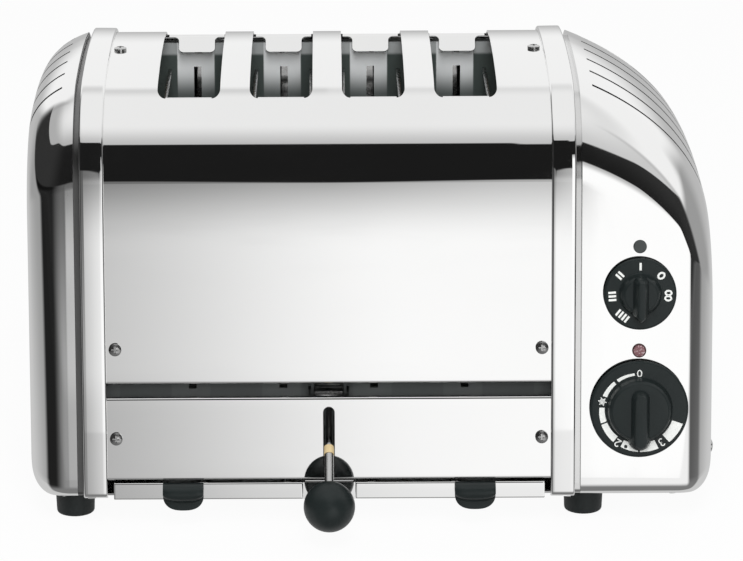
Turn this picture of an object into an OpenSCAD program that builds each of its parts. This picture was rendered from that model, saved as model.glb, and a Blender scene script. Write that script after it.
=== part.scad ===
// Four-slot toaster: a polished sheet body between two raised rims, domed end
// covers with slit vents, a timer and a slot selector on the right-hand end,
// and an ejector lever that lifts the bread racks.
// Millimetres. X runs along the body, the front faces -Y and Z is up.

/* [Body] */
// Depth over the front and back faces at their lower edge
body_depth = 227; // [219:1:237]
// Height of the crest of the shell above the table
body_top = 219; // [214:1:228]
// Height of the body's lower edge above the table
base_z = 15; // [14:0.5:18]
// Lean of the front and back faces from upright, in degrees
lean = 7; // [6:0.5:8]
// Radius between each face and the crown
shoulder_r = 48; // [44:1:54]
// Slope of the crown where it meets a shoulder, in degrees
crown_a = 6.6; // [5:0.1:8]
// Width of the shell that shows between the two rims
shell_w = 221.5; // [216:0.5:232]
// Thickness of the body's sheet steel
sheet = 1; // [0.8:0.1:1.3]

/* [Bread slots] */
// Distance between neighbouring slots
slot_pitch = 46; // [45:0.5:48]
// Width of a slot
slot_w = 31.3; // [29:0.1:32.5]
// Length of a slot from front to back
slot_len = 132; // [126:1:136]
// Corner radius of a slot
slot_r = 4; // [3:0.1:4]
// Width of the tab turned down at each end of a slot
tab_w = 19; // [16:0.5:22]
// Length of that tab
tab_h = 9; // [7:0.5:11]
// Radius of the tab's lower corners
tab_r = 2.4; // [1:0.1:3]

/* [Front and back faces] */
// Height of the lower panel's bottom edge, measured up the face
panel_low = 10.7; // [10:0.1:12]
// Height of the vent gap's lower edge, measured up the face
vent_low = 52; // [50:0.5:54]
// Width of the vent gap between lower panel and shell
vent_h = 7; // [5:0.5:9]
// Outer radius of the folded sheet edges
fold_r = 1.8; // [1.5:0.1:2.5]
// Depth of the folded sheet edges
fold_d = 4; // [3.5:0.5:5]

/* [Rims and end covers] */
// Width of each raised rim
rim_w = 12; // [10:0.5:14]
// How far a rim stands proud of the shell
rim_proud = 2.2; // [1.5:0.1:3]
// Rounding of the rim's two outer edges
rim_edge_r = 1.4; // [0.8:0.1:1.45]
// Width of the groove between a rim and its end cover
groove = 3; // [2:0.5:4]
// Depth of the left end cover
left_depth = 24.5; // [23:0.5:30]
// Depth of the right end cover, which holds the controls
right_depth = 66.75; // [62:0.25:76]
// Half-axis of the left cover's arch along X
left_arch_x = 52; // [40:0.5:60]
// Half-axis of the left cover's arch upwards
left_arch_z = 30.5; // [28:0.5:36]
// Half-axis of the right cover's arch along X
right_arch_x = 150; // [120:1:160]
// Half-axis of the right cover's arch upwards
right_arch_z = 92.5; // [86:0.5:98]
// Thickness of the end covers
cover_t = 1.2; // [1:0.1:1.6]
// Radius of the left cover's upright edges
left_edge_r = 20; // [16:0.5:22]
// Radius of the right cover's upright edges
right_edge_r = 18; // [14:0.5:20]
// Radius of the covers' lower outer edge
cover_foot_r = 12; // [10:0.5:12]
// Radius of the covers' lower front and back edges
cover_hem_r = 6.5; // [6:0.5:8]
// Shoulder radius where the arch meets the upright end
cover_tip_r = 44; // [38:1:48]
// Number of slit vents over each end cover
slits = 6; // [4:2:8]
// Distance between neighbouring slits
slit_pitch = 21.5; // [18:0.5:23]
// Width of a slit
slit_w = 2.4; // [1.4:0.1:3]
// Distance from the groove to the start of a slit
slit_inset = 7; // [5:0.5:9]
// Height above the table where the slits end
slit_low = 86; // [80:1:110]

/* [Ejector lever] */
// Height of the lever's pivot above the table
pivot_z = 59.6; // [58:0.2:62]
// Slope of the lever below level at rest, in degrees
lever_drop = 31.7; // [30:0.1:33]
// Swing of the lever from rest to its upper stop, in degrees
lever_throw = 29.5; // [26:0.5:31]
// Length of the rod from the panel to the middle of the ball
rod_out = 37; // [34:0.5:42]
// Diameter of the lever's rod
rod_d = 4.6; // [4:0.1:5]
// Diameter of the ball
ball_d = 25.4; // [24:0.1:25.6]
// Outer diameter of the collar on the rod
collar_d = 5.2; // [5.1:0.1:5.6]
// Length of the collar
collar_len = 5; // [4:0.5:6]
// Distance of its middle outside the front panel
collar_out = 2; // [0:0.5:3]
// Diameter of the pivot pin and of the lift pin
pin_d = 5; // [4:0.5:6]

/* [Controls] */
// Distance of the control column from the right-hand rim's inner edge
control_in = 43.75; // [42:0.25:46]
// Height of the selector's axis, measured up the face
selector_up = 104; // [102:0.5:106]
// Height of the timer's axis, measured up the face
timer_up = 45.8; // [44:0.2:47]
// Height of the lamp, measured up the face
lamp_up = 74.9; // [74:0.1:76]
// Height of the index plug, measured up the face
index_up = 127.3; // [125:0.1:129]
// Diameter of the selector's dial
selector_d = 36.2; // [34:0.2:38]
// Diameter of the timer's dial
timer_d = 49.1; // [46:0.1:49.4]
// Thickness of both dials
dial_t = 2.4; // [2:0.1:3]
// Height of both knobs above the dial
grip_h = 12; // [10:0.5:15]
// Diameter of the lamp's lens
lamp_d = 7; // [6:0.1:7.4]
// Diameter of the index plug
index_d = 6.7; // [5:0.1:7]
// Diameter of the selector's shaft
selector_shaft_d = 5; // [4:0.5:6]
// Diameter of the timer's shaft
timer_shaft_d = 6; // [5:0.5:7]

/* [Crumb trays and feet] */
// Height of a crumb tray's front, measured up the face
tray_front_h = 8.6; // [8:0.1:9.2]
// Thickness of the trays' sheet
tray_t = 0.8; // [0.6:0.1:1]
// Width of a tray pull
pull_w = 20.3; // [18:0.1:24]
// Distance of each tray pull from the lever
pull_x = 73; // [68:0.5:78]
// Diameter of a foot
foot_d = 19; // [17:0.5:20]
// Gap between a foot and the end frame beside it
foot_gap = 0.5; // [0.4:0.1:2]
// Distance of a foot's axis from the lower edge of the face
foot_inset = 25.5; // [24:0.5:32]
// Height of the tray runners
runner_h = 15; // [12:0.5:18]

/* [Inner works] */
// Thickness of the end frames' webs
web_t = 2; // [1.5:0.1:2.5]
// Width of the end frames' inner flange
flange_w = 20; // [18:0.5:22]
// Thickness of that flange and of the base plates
plate_t = 1.5; // [1.2:0.1:2]
// Thickness of the bread guide plates
guide_t = 1.2; // [1:0.1:1.6]
// Thickness of a mica board
mica_t = 1.2; // [1:0.1:1.6]
// Number of runs in a heating ribbon
ribbon_runs = 12; // [8:2:14]
// Width of a heating ribbon
ribbon_w = 2.2; // [1.6:0.1:2.6]
// Thickness of a heating ribbon
ribbon_t = 0.4; // [0.3:0.1:0.6]
// Diameter of the bread guard wires
guard_d = 1.8; // [1.4:0.1:2.2]
// Width of a bread rack's fingers
rack_w = 25; // [20:0.5:25]
// Height of the racks above the lift pin
rack_rise = 24; // [22:0.5:26]
// Width of the lift carriage's bar, from front to back
bar_d = 10; // [8:0.5:12]
// Thickness of that bar
bar_t = 2.5; // [2:0.1:3]
// Gap left between moving pieces
run_gap = 0.4; // [0.3:0.05:0.5]
// Radial gap of a turning shaft in its bore
shaft_gap = 0.05; // [0.02:0.01:0.1]
// Diameter of the screw heads
screw_head_d = 6.4; // [5.5:0.1:7]
// Height of the screw heads
screw_head_h = 2; // [1.5:0.1:2.5]
// Diameter of the screw shanks
screw_d = 3; // [2.5:0.1:3.5]
// Length of the screw shanks
screw_len = 5; // [4:0.5:6]

/* [Hidden] */

$fn = 48;
fine = 144;
arc_steps = 10;
crown_steps = 3;
hem_steps = 4;
rim_steps = 4;
cover_steps = 14;
slot_count = 4;
reach = 40;
// Small gaps: between fixed pieces, round a screw, and the depth that drawn shapes reach into each other
fit_gap = 0.3;
hole_slack = 0.2;
sink = 0.1;

// Body profile: leaning faces, shoulders and a crown, all tangent
half_depth = body_depth / 2;
function face_y(s) = -half_depth + s * sin(lean);
function face_z(s) = base_z + s * cos(lean);
function half_at(z) = half_depth - (z - base_z) * tan(lean);

// Centre of the shoulder arc for a face b from the middle at base_z, and the crown's radius
function shoulder_y(b, r, top) =
  (b - r / cos(lean) - (top - r - base_z) * tan(lean)) / (1 - tan(crown_a / 2) * tan(lean));
function shoulder_z(y, r, top) = top - r - y * tan(crown_a / 2);
function crown_radius(y, r) = r + y / sin(crown_a);

sh_y = shoulder_y(half_depth, shoulder_r, body_top);
sh_z = shoulder_z(sh_y, shoulder_r, body_top);
crown_r = crown_radius(sh_y, shoulder_r);
crown_z = body_top - crown_r;
function top_at(y) = sh_z + sqrt(pow(shoulder_r, 2) - pow(y - sh_y, 2));

// Along X: shell, rims, webs and covers
rim_x = shell_w / 2;
rim_out = rim_x + rim_w;
web_x = rim_x + rim_w / 2;
web_out = web_x + web_t;
shell_half = web_x - fit_gap;
cover_x = rim_out + groove;
left_end = cover_x + left_depth;
right_end = cover_x + right_depth;
joggle = 3;
lip_hem = 0.8;
rim_seat = 0.15;
left_arch = [left_arch_x, left_arch_z];
right_arch = [right_arch_x, right_arch_z];
vent_top = vent_low + vent_h;
function slot_x(k) = (k - (slot_count - 1) / 2) * slot_pitch;
function board_x(k) = (k - slot_count / 2) * slot_pitch;

// Lever: the rod's line through the pivot meets the front face
tab_gap = 3;
hub_wall = 3;
hub_gap = 3.3;
guide_in = slot_len / 2 + sheet + tab_gap;
guide_out = guide_in + guide_t;
hub_r = pin_d / 2 + hub_wall;
pivot_y = -(guide_out + hub_r + hub_gap);
pivot_depth = pivot_y + half_depth - (pivot_z - base_z) * tan(lean);
function rod_to_face(a) = pivot_depth / (cos(a) - sin(a) * tan(lean));
function face_at(a) = (pivot_z - rod_to_face(a) * sin(a) - base_z) / cos(lean);
rod_len = rod_to_face(lever_drop) + rod_out;
ball_y = pivot_y - rod_len * cos(lever_drop);
arm_a = lever_throw / 2;
arm_len = -pivot_y / cos(arm_a);
lift = 2 * arm_len * sin(arm_a);
pin_z = pivot_z + arm_len * sin(arm_a);
slot_below = 11;
slot_above = 1;
lever_slot_w = collar_d + 2 * fit_gap;
lever_slot_low = face_at(lever_drop) - slot_below;
lever_slot_top = face_at(lever_drop - lever_throw) + rod_d / 2 + slot_above;
bracket_x = 7.5;
bracket_low = pin_z + 2 * pin_d;
bracket_h = 14;
arm_t = 4;

// Lift carriage and racks, relative to the lift pin
bar_low = pin_d / 2 + 3;
lug_x = 4.5;
lug_t = 2;
rack_z = pin_z + rack_rise;
rack_t = 1.6;
tongue_w = 3.2;
board_gap = 1.5;
board_drop = 6;
board_low = pin_z + bar_low + bar_t + board_gap;
board_top = top_at(guide_in) - sheet - board_drop;
board_tab_h = 8;
function on_board(u) = board_low + u * (board_top - board_low);
board_tabs = [on_board(0.13), on_board(0.82)];
guards = [on_board(0.22), on_board(0.54), on_board(0.89)];
guard_inset = 1;
guard_x = slot_w / 2 - guard_inset;
guide_up = 25;
guide_drop = 1;
guide_low = base_z + guide_up;
guide_top = top_at(guide_out) - sheet - plate_t - guide_drop;
guide_slot = [rack_z - lift - tongue_w, on_board(0.91)];

// Crumb trays between the centre rail and the side runners
runner_t = 1;
ledge_w = 6;
strip_t = 3.5;
strip_in = 3;
tray_side = 3;
tray_rear = 13;
rail_half = ball_d / 2 + run_gap;
tray_in = rail_half + run_gap;
tray_out = rim_x - tray_side;
tray_floor = base_z + runner_t + run_gap;
tray_top = face_z(tray_front_h);
tray_back = half_depth - tray_rear;
runner_back = half_depth - 2 * strip_t;

// Feet, base plates and screws, each measured from the edge beside it
foot_x = web_out + foot_gap + foot_d / 2;
foot_y = half_depth - foot_inset;
foot_h = base_z + cover_t;
foot_bore = 5;
foot_edge = 0.5;
base_top = base_z + cover_t + plate_t;
base_half = foot_y + foot_d / 2 + foot_edge;
base_bend = cover_foot_r + 1;
web_flange_h = 18;
end_flange_h = 15;
end_screw_in = 29.5;
end_screw_up = 17;
end_screw = [half_depth - end_screw_in, base_z + end_screw_up];
base_screw_y = half_depth - 12;
base_screw_x = [left_end - 16.5, right_end - 20];
face_screw_in = 4.6;
face_screw_x = rim_x - face_screw_in;
shell_screw_rise = 17.7;
shell_screw_up = vent_top + shell_screw_rise;
panel_screw_up = (panel_low + vent_low) / 2;
flange_low = tray_top + ledge_w;
web_hole_r = 9;

// Controls and the lead's bush on the right-hand end
control_x = rim_x + control_in;
gland = [control_x + 8, 28];
gland_d = 12;
gland_bore = 8;
gland_len = 6;
bush_wall = 4.2;
lamp_stem = lamp_d - 1.4;
index_stem = index_d / 2;

// The origin lies under the middle of the whole object
mid_x = (right_end + screw_head_h - left_end) / 2;
mid_y = (half_depth + rim_proud / cos(lean) + ball_y - ball_d / 2) / 2;
module place() { translate([-mid_x, -mid_y, 0]) children(); }

// Side view, as [Y, Z], drawn out along X from x0 to x1
module along_x(x0, x1) {
  translate([x0, 0, 0]) rotate([90, 0, 90]) linear_extrude(x1 - x0) children();
}
// Front view, as [X, Z], drawn out to both sides of the middle
module along_y(half) {
  translate([0, half, 0]) rotate([90, 0, 0]) linear_extrude(2 * half) children();
}
// Outline of the body from the end, moved out by n and cut off at height z0
module body_outline(n = 0, z0 = base_z) {
  b = half_at(z0) + n / cos(lean);
  r = shoulder_r + n;
  t = [sh_y + r * cos(lean), sh_z + r * sin(lean)];
  over = crown_r + n + reach;
  k = [over * sin(crown_a), crown_z + over * cos(crown_a)];
  polygon([[-b, z0], [-t[0], t[1]], [-sh_y, sh_z], [sh_y, sh_z], t, [b, z0]]);
  for (side = [-1, 1]) translate([side * sh_y, sh_z]) circle(r, $fn = fine);
  intersection() {
    translate([0, crown_z]) circle(crown_r + n, $fn = 4 * fine);
    polygon([[-sh_y, sh_z], [-k[0], k[1]], k, [sh_y, sh_z]]);
  }
}
// Side-view shapes on the front face: x runs up the face, y points outwards
module face_2d() { translate([-half_depth, base_z]) rotate(90 - lean) children(); }
// Pieces on the front face at x, s up the face: z points outwards, y up the face
module on_face(x, s) {
  translate([x, face_y(s), face_z(s)]) rotate([90 - lean, 0, 0]) children();
}
module on_back(x, s) { mirror([0, 1, 0]) on_face(x, s) children(); }
module rounded(w, l, r) {
  for (x = [-1, 1], y = [-1, 1]) translate([x * (w / 2 - r), y * (l / 2 - r)]) circle(r);
  square([w, l - 2 * r], center = true);
  square([w - 2 * r, l], center = true);
}
// Sheet with its edge folded in at s, on the face's side view
module fold(s, up) {
  translate([s, 0]) mirror([up ? 1 : 0, 0]) {
    translate([fold_r, -fold_r]) intersection() {
      difference() {
        circle(fold_r);
        circle(fold_r - sheet);
      }
      rotate(90) square(fold_r);
    }
    translate([0, -fold_d]) square([sheet, fold_d - fold_r]);
  }
}
// Pan-head screw with a cross recess, standing on z = 0, with its shank below
module screw(len = screw_len, head = screw_head_d, shank = screw_d) {
  difference() {
    rotate_extrude() {
      intersection() {
        translate([0, screw_head_h - head]) circle(head);
        square([head / 2, screw_head_h]);
      }
      translate([0, -len]) square([shank / 2, len + sink]);
    }
    for (a = [0, 90]) rotate(a) translate([0, 0, screw_head_h])
      cube([head * 0.55, head * 0.15, screw_head_h], center = true);
  }
}
module screw_hole(shank = screw_d) {
  translate([0, 0, -screw_len]) cylinder(d = shank + hole_slack, h = 2 * screw_len);
}
module face_screws(s) {
  for (x = [-face_screw_x, face_screw_x]) {
    on_face(x, s) children();
    on_back(x, s) children();
  }
}
module top_screws() {
  for (x = [-face_screw_x, face_screw_x]) translate([x, 0, body_top]) children();
}
module in_slots() { for (k = [0:slot_count - 1]) translate([slot_x(k), 0, 0]) children(); }

// Polished wrapper over the top, slotted, with its lower edges folded in
module shell_side() {
  difference() {
    body_outline();
    body_outline(-sheet, base_z - 1);
    for (side = [0, 1]) mirror([side, 0])
      face_2d() translate([-reach, -reach]) square([reach + vent_top + fold_r, 2 * reach]);
  }
  for (side = [0, 1]) mirror([side, 0]) face_2d() fold(vent_top, false);
}
module body_shell() {
  z_edge = top_at(slot_len / 2);
  color("gainsboro") difference() {
    union() {
      difference() {
        along_x(-shell_half, shell_half) shell_side();
        in_slots() translate([0, 0, sh_z])
          linear_extrude(reach + shoulder_r) rounded(slot_w, slot_len, slot_r);
      }
      in_slots() intersection() {
        for (side = [0, 1]) mirror([0, side, 0])
          along_x(-tab_w / 2, tab_w / 2) intersection() {
            body_outline();
            translate([slot_len / 2, z_edge - tab_h]) square([sheet, 2 * tab_h]);
          }
        along_y(slot_len) translate([0, z_edge + tab_h]) rounded(tab_w, 4 * tab_h, tab_r);
      }
    }
    face_screws(shell_screw_up) screw_hole();
    top_screws() screw_hole();
  }
}
// Lower panels, folded along both edges
module lower_panel() {
  along_x(-shell_half, shell_half) face_2d() {
    translate([panel_low + fold_r, -sheet]) square([vent_low - panel_low - 2 * fold_r, sheet]);
    fold(panel_low, false);
    fold(vent_low, true);
  }
}
module front_panel() {
  r = lever_slot_w / 2;
  color("gainsboro") difference() {
    lower_panel();
    for (x = [-face_screw_x, face_screw_x]) on_face(x, panel_screw_up) screw_hole();
    on_face(0, 0) translate([0, 0, -2 * sheet]) linear_extrude(4 * sheet) {
      translate([0, lever_slot_low + r]) circle(r);
      translate([0, lever_slot_top - r]) circle(r);
      translate([-r, lever_slot_low + r]) square([2 * r, lever_slot_top - lever_slot_low - 2 * r]);
    }
  }
}
module rear_panel() {
  color("gainsboro") difference() {
    mirror([0, 1, 0]) lower_panel();
    for (x = [-face_screw_x, face_screw_x]) on_back(x, panel_screw_up) screw_hole();
  }
}
// Points of the body's profile: half of it up to the crest, then both halves
function half_profile(b, top, r) =
  let (y = shoulder_y(b, r, top))
  let (z = shoulder_z(y, r, top))
  let (crown = crown_radius(y, r))
  concat(
    [
      for (i = [0:arc_steps])
      let (t = 180 - lean - i * (90 - lean - crown_a) / arc_steps)
      [-y + r * cos(t), z + r * sin(t)]
    ],
    [
      for (i = [1:crown_steps])
      let (t = 90 + crown_a * (1 - i / crown_steps))
      [crown * cos(t), top - crown + crown * sin(t)]
    ]
  );
function both_sides(path) = concat(path, [for (i = [len(path) - 2:-1:0]) [-path[i][0], path[i][1]]]);

// End frames: raised rim, upright web and the flange that the sheets screw to
function rim_path(n) =
  let (b = half_depth + n / cos(lean))
  both_sides(concat([[-b, base_z]], half_profile(b, body_top + n, shoulder_r + n)));
module rim() {
  corner = [
    for (i = [0:rim_steps])
    let (t = 90 * i / rim_steps)
    rim_edge_r * [1 - sin(t), 1 - cos(t)]
  ];
  section = concat(
    [[rim_seat, rim_x]],
    [for (c = corner) [rim_proud - c[0], rim_x + c[1]]],
    [for (i = [rim_steps:-1:0]) [rim_proud - corner[i][0], rim_out - corner[i][1]]],
    [[rim_seat, rim_out]]
  );
  m = len(section);
  n = len(rim_path(0));
  function at(k, i) = (k % m) * n + i;
  sides = [for (k = [0:m - 1], i = [0:n - 2]) each [
    [at(k, i), at(k + 1, i + 1), at(k + 1, i)],
    [at(k, i), at(k, i + 1), at(k + 1, i + 1)],
  ]];
  ends = [[for (k = [0:m - 1]) at(k, 0)], [for (k = [m - 1:-1:0]) at(k, n - 1)]];
  polyhedron(
    points = [for (q = section) each [for (p = rim_path(q[0])) [q[1], p[0], p[1]]]],
    faces = concat(sides, ends),
    convexity = 6
  );
}
module end_frame() {
  color("whitesmoke") difference() {
    union() {
      rim();
      along_x(web_x, web_out) body_outline(rim_proud / 2);
      along_x(web_x - flange_w, web_x + web_t / 2) difference() {
        body_outline(-sheet, flange_low);
        body_outline(-sheet - plate_t, flange_low - 1);
        for (side = [0, 1]) mirror([side, 0]) face_2d()
          translate([vent_low - fold_r - fit_gap, -reach])
            square([vent_h + 2 * (fold_r + fit_gap), 2 * reach]);
      }
    }
    for (side = [-1, 1]) translate([web_x - sink, side * sh_y * 0.65, base_z + (sh_z - base_z) * 0.6])
      rotate([0, 90, 0]) cylinder(r = web_hole_r, h = web_t + 2 * sink);
    face_screws(shell_screw_up) screw_hole();
    face_screws(panel_screw_up) screw_hole();
    top_screws() screw_hole();
  }
}
module right_end_frame() { end_frame(); }
module left_end_frame() { mirror([1, 0, 0]) end_frame(); }

// End covers: rings of the body profile, carried along X while the crest
// follows an elliptic arch and the faces turn in round the upright edges
function ring(b, top, r, low, hem) =
  let (y = b - (low + hem - base_z) * tan(lean) - hem / cos(lean))
  both_sides(concat(
    [
      for (i = [0:hem_steps])
      let (t = 270 - i * (90 + lean) / hem_steps)
      [-y + hem * cos(t), low + hem + hem * sin(t)]
    ],
    half_profile(b, top, r)
  ));
function turn_in(x, r) = x > 0 ? r - sqrt(max(0, r * r - x * x)) : 0;
function lip_ring(x, j) =
  let (hem = cover_hem_r - lip_hem * j)
  [for (p = ring(half_depth - j / cos(lean), body_top - j, shoulder_r - j, base_z + j, hem)) [x, p[0], p[1]]];
function arch_ring(depth, arch, edge_r, w, t) =
  let (x = cover_x + depth - arch[0] + (arch[0] - w) * sin(t))
  let (start = asin((arch[0] - depth) / arch[0]))
  let (top = body_top - arch[1] * cos(start) + (arch[1] - w) * cos(t))
  let (inset = w + turn_in(x - cover_x - depth + edge_r, edge_r - w))
  let (low = base_z + w + turn_in(x - cover_x - depth + cover_foot_r, cover_foot_r - w))
  let (r = shoulder_r + (cover_tip_r - shoulder_r) * (x - cover_x) / depth - w)
  [for (p = ring(half_depth - inset / cos(lean), top, r, low, cover_hem_r - w)) [x, p[0], p[1]]];
function cover_rings(depth, arch, edge_r, w) =
  let (start = asin((arch[0] - depth + w) / (arch[0] - w)))
  concat(
    [lip_ring(web_out + fit_gap, joggle + w), lip_ring(cover_x + w, joggle + w)],
    [
      for (i = [0:cover_steps])
      arch_ring(depth, arch, edge_r, w, start + (90 - start) * i / cover_steps)
    ]
  );
module cover_skin(depth, arch, edge_r) {
  outer = cover_rings(depth, arch, edge_r, 0);
  inner = cover_rings(depth, arch, edge_r, cover_t);
  m = len(outer);
  n = len(outer[0]);
  function at(i, j) = i * n + j % n;
  strips = [
    for (i = [0:m - 2], j = [0:n - 1]) each [
      [at(i, j), at(i + 1, j + 1), at(i + 1, j)],
      [at(i, j), at(i, j + 1), at(i + 1, j + 1)],
      [at(m + i, j), at(m + i + 1, j), at(m + i + 1, j + 1)],
      [at(m + i, j), at(m + i + 1, j + 1), at(m + i, j + 1)],
    ]
  ];
  mouth = [
    for (j = [0:n - 1]) each [
      [at(0, j), at(m, j + 1), at(0, j + 1)],
      [at(0, j), at(m, j), at(m, j + 1)],
    ]
  ];
  ends = [[for (j = [0:n - 1]) at(m - 1, j)], [for (j = [n - 1:-1:0]) at(2 * m - 1, j)]];
  polyhedron(
    points = [for (r = concat(outer, inner)) each r],
    faces = concat(strips, mouth, ends),
    convexity = 6
  );
}
module end_cover(depth, arch, edge_r, screw_x) {
  difference() {
    cover_skin(depth, arch, edge_r);
    for (i = [0:slits - 1])
      translate([cover_x + slit_inset, (i - (slits - 1) / 2) * slit_pitch - slit_w / 2, slit_low])
        cube([depth, slit_w, body_top]);
    translate([web_x, -base_half - foot_edge, 0])
      cube([foot_x + foot_d / 2 + 2 * foot_edge - web_x, 2 * (base_half + foot_edge), base_z + 2 * joggle]);
    for (y = [-base_screw_y, base_screw_y]) translate([screw_x, y, base_z]) screw_hole();
  }
}
module at_end_screws() {
  for (y = [-end_screw[0], end_screw[0]])
    translate([right_end, y, end_screw[1]]) rotate([0, 90, 0]) children();
}
module left_end_cover() {
  color("gainsboro") mirror([1, 0, 0]) end_cover(left_depth, left_arch, left_edge_r, base_screw_x[0]);
}
module right_end_cover() {
  color("gainsboro") difference() {
    end_cover(right_depth, right_arch, right_edge_r, base_screw_x[1]);
    on_face(control_x, selector_up) screw_hole(selector_shaft_d + bush_wall);
    on_face(control_x, timer_up) screw_hole(timer_shaft_d + bush_wall);
    on_face(control_x, lamp_up) screw_hole(lamp_stem);
    on_face(control_x, index_up) screw_hole(index_stem);
    on_back(gland[0], gland[1]) screw_hole(gland_d);
    at_end_screws() screw_hole();
  }
}
// Base plates under the end compartments, which carry the feet
module base_plate(end, screw_x) {
  z0 = base_z + cover_t;
  difference() {
    union() {
      along_y(base_half) {
        translate([web_out, z0]) square([end - base_bend - web_out, plate_t]);
        translate([web_out, z0]) square([plate_t, web_flange_h]);
      }
      for (side = [0, 1]) mirror([0, side, 0]) {
        translate([screw_x - screw_head_d / 2, base_half - plate_t, z0])
          cube([screw_head_d, base_screw_y - base_half + plate_t, plate_t]);
        translate([screw_x, base_screw_y, z0]) cylinder(d = screw_head_d, h = plate_t);
      }
    }
    for (y = [-foot_y, foot_y]) translate([foot_x, y, base_z]) screw_hole(foot_screw_d);
    for (y = [-base_screw_y, base_screw_y]) translate([screw_x, y, base_z]) screw_hole();
  }
}
module right_base_plate() {
  x0 = right_end - base_bend;
  x1 = right_end - cover_t;
  z0 = base_z + cover_t;
  z1 = base_z + base_bend;
  color("silver") difference() {
    union() {
      base_plate(right_end, base_screw_x[1]);
      along_y(end_screw[0] + screw_head_d) polygon([
        [x0 - plate_t, z0], [x0, z0], [x1, z1], [x1, z1 + end_flange_h],
        [x1 - plate_t, z1 + end_flange_h], [x1 - plate_t, z1 + plate_t / 2],
        [x0 - plate_t / 2, base_top], [x0 - plate_t, base_top],
      ]);
    }
    at_end_screws() screw_hole();
  }
}
module left_base_plate() { color("silver") mirror([1, 0, 0]) base_plate(left_end, base_screw_x[0]); }

module at_feet() {
  for (x = [-1, 1], y = [-1, 1]) translate([x * foot_x, y * foot_y, 0]) children();
}
foot_edge_r = 1.5;
foot_taper = 0.7;
foot_screw_d = screw_d + 0.8;
module feet() {
  r = foot_d / 2;
  low_r = r - foot_taper - foot_edge_r;
  color([0.13, 0.14, 0.14]) at_feet() rotate_extrude() difference() {
    union() {
      polygon([[0, 0], [low_r, 0], [low_r + foot_edge_r, foot_edge_r], [r, foot_h], [0, foot_h]]);
      translate([low_r, foot_edge_r]) circle(foot_edge_r, $fn = 16);
    }
    square([foot_bore, foot_h / 2]);
    square([foot_screw_d / 2 + hole_slack, foot_h + 1]);
  }
}
module foot_screws() {
  color("silver") at_feet() translate([0, 0, foot_h / 2]) mirror([0, 0, 1])
    screw(foot_h / 2 + plate_t + foot_edge_r, screw_head_d + 1, foot_screw_d);
}
module shell_screws() {
  color("silver") {
    face_screws(shell_screw_up) screw();
    top_screws() screw();
  }
}
module panel_screws() { color("silver") face_screws(panel_screw_up) screw(); }
module end_screws() { color("silver") at_end_screws() screw(); }
module base_screws() {
  color("silver") for (side = [0, 1], y = [-base_screw_y, base_screw_y])
    mirror([1 - side, 0, 0]) translate([base_screw_x[side], y, base_z]) mirror([0, 0, 1]) screw();
}
// Guide plates at both ends of the bread slots hold boards and guard wires
module through_guide(z) { translate([0, -guide_out - sink, z]) children(); }
module guide_plate() {
  hole_t = guide_t + 2 * sink;
  difference() {
    translate([-web_x, -guide_out, guide_low]) cube([2 * web_x, guide_t, guide_top - guide_low]);
    in_slots() {
      through_guide(guide_slot[0]) translate([-tongue_w / 2 - run_gap, 0, 0])
        cube([tongue_w + 2 * run_gap, hole_t, guide_slot[1] - guide_slot[0]]);
      for (x = [-guard_x, guard_x], z = guards) through_guide(z) translate([x, 0, 0]) rotate([-90, 0, 0])
        cylinder(d = guard_d + hole_slack / 2, h = hole_t, $fn = 24);
    }
    for (k = [0:slot_count], z = board_tabs) through_guide(z - hole_slack)
      translate([board_x(k) - mica_t / 2 - hole_slack / 2, 0, 0])
        cube([mica_t + hole_slack, hole_t, board_tab_h + 2 * hole_slack]);
  }
}
module front_guide_plate() {
  color("darkgray") difference() {
    guide_plate();
    through_guide(guide_low - sink) translate([-bracket_x + plate_t, 0, 0])
      cube([2 * (bracket_x - plate_t), guide_t + 2 * sink, bracket_low - guide_low]);
  }
}
module rear_guide_plate() { color("darkgray") mirror([0, 1, 0]) guide_plate(); }
module mica_board(k) {
  color([0.62, 0.56, 0.47]) translate([board_x(k) - mica_t / 2, 0, 0]) {
    translate([0, -guide_in, board_low]) cube([mica_t, 2 * guide_in, board_top - board_low]);
    for (z = board_tabs)
      translate([0, -guide_out - mica_t, z]) cube([mica_t, 2 * (guide_out + mica_t), board_tab_h]);
  }
}
// One unbroken ribbon folded to and fro over the face of a board
module ribbon() {
  run = guide_in * 0.83;
  pitch = (board_top - board_low - 2 * board_tab_h) / (ribbon_runs - 1);
  for (i = [0:ribbon_runs - 1]) {
    z = board_low + board_tab_h + i * pitch;
    translate([-run, z - ribbon_w / 2]) square([2 * run, ribbon_w]);
    if (i > 0) translate([i % 2 ? run - ribbon_w : -run, z - pitch]) square([ribbon_w, pitch]);
  }
}
module heating_ribbon(k) {
  color([0.42, 0.38, 0.35]) translate([board_x(k), 0, 0]) {
    if (k < slot_count) along_x(mica_t / 2, mica_t / 2 + ribbon_t) ribbon();
    if (k > 0) along_x(-mica_t / 2 - ribbon_t, -mica_t / 2) ribbon();
  }
}
module bread_guard(k) {
  half = guide_out + guard_d;
  color("silver") for (x = [-guard_x, guard_x], z = guards)
    translate([slot_x(k) + x, -half, z]) rotate([-90, 0, 0]) cylinder(d = guard_d, h = 2 * half, $fn = 24);
}
// Crumb trays slide out to the front on side runners and a centre rail
module tray_runner() {
  color("darkgray") {
    translate([tray_out - ledge_w, -runner_back, base_z])
      cube([web_x - tray_out + ledge_w, 2 * runner_back, runner_t]);
    translate([web_x - runner_t, -runner_back, base_z]) cube([runner_t, 2 * runner_back, runner_h]);
  }
}
module right_tray_runner() { tray_runner(); }
module left_tray_runner() { mirror([1, 0, 0]) tray_runner(); }
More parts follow.
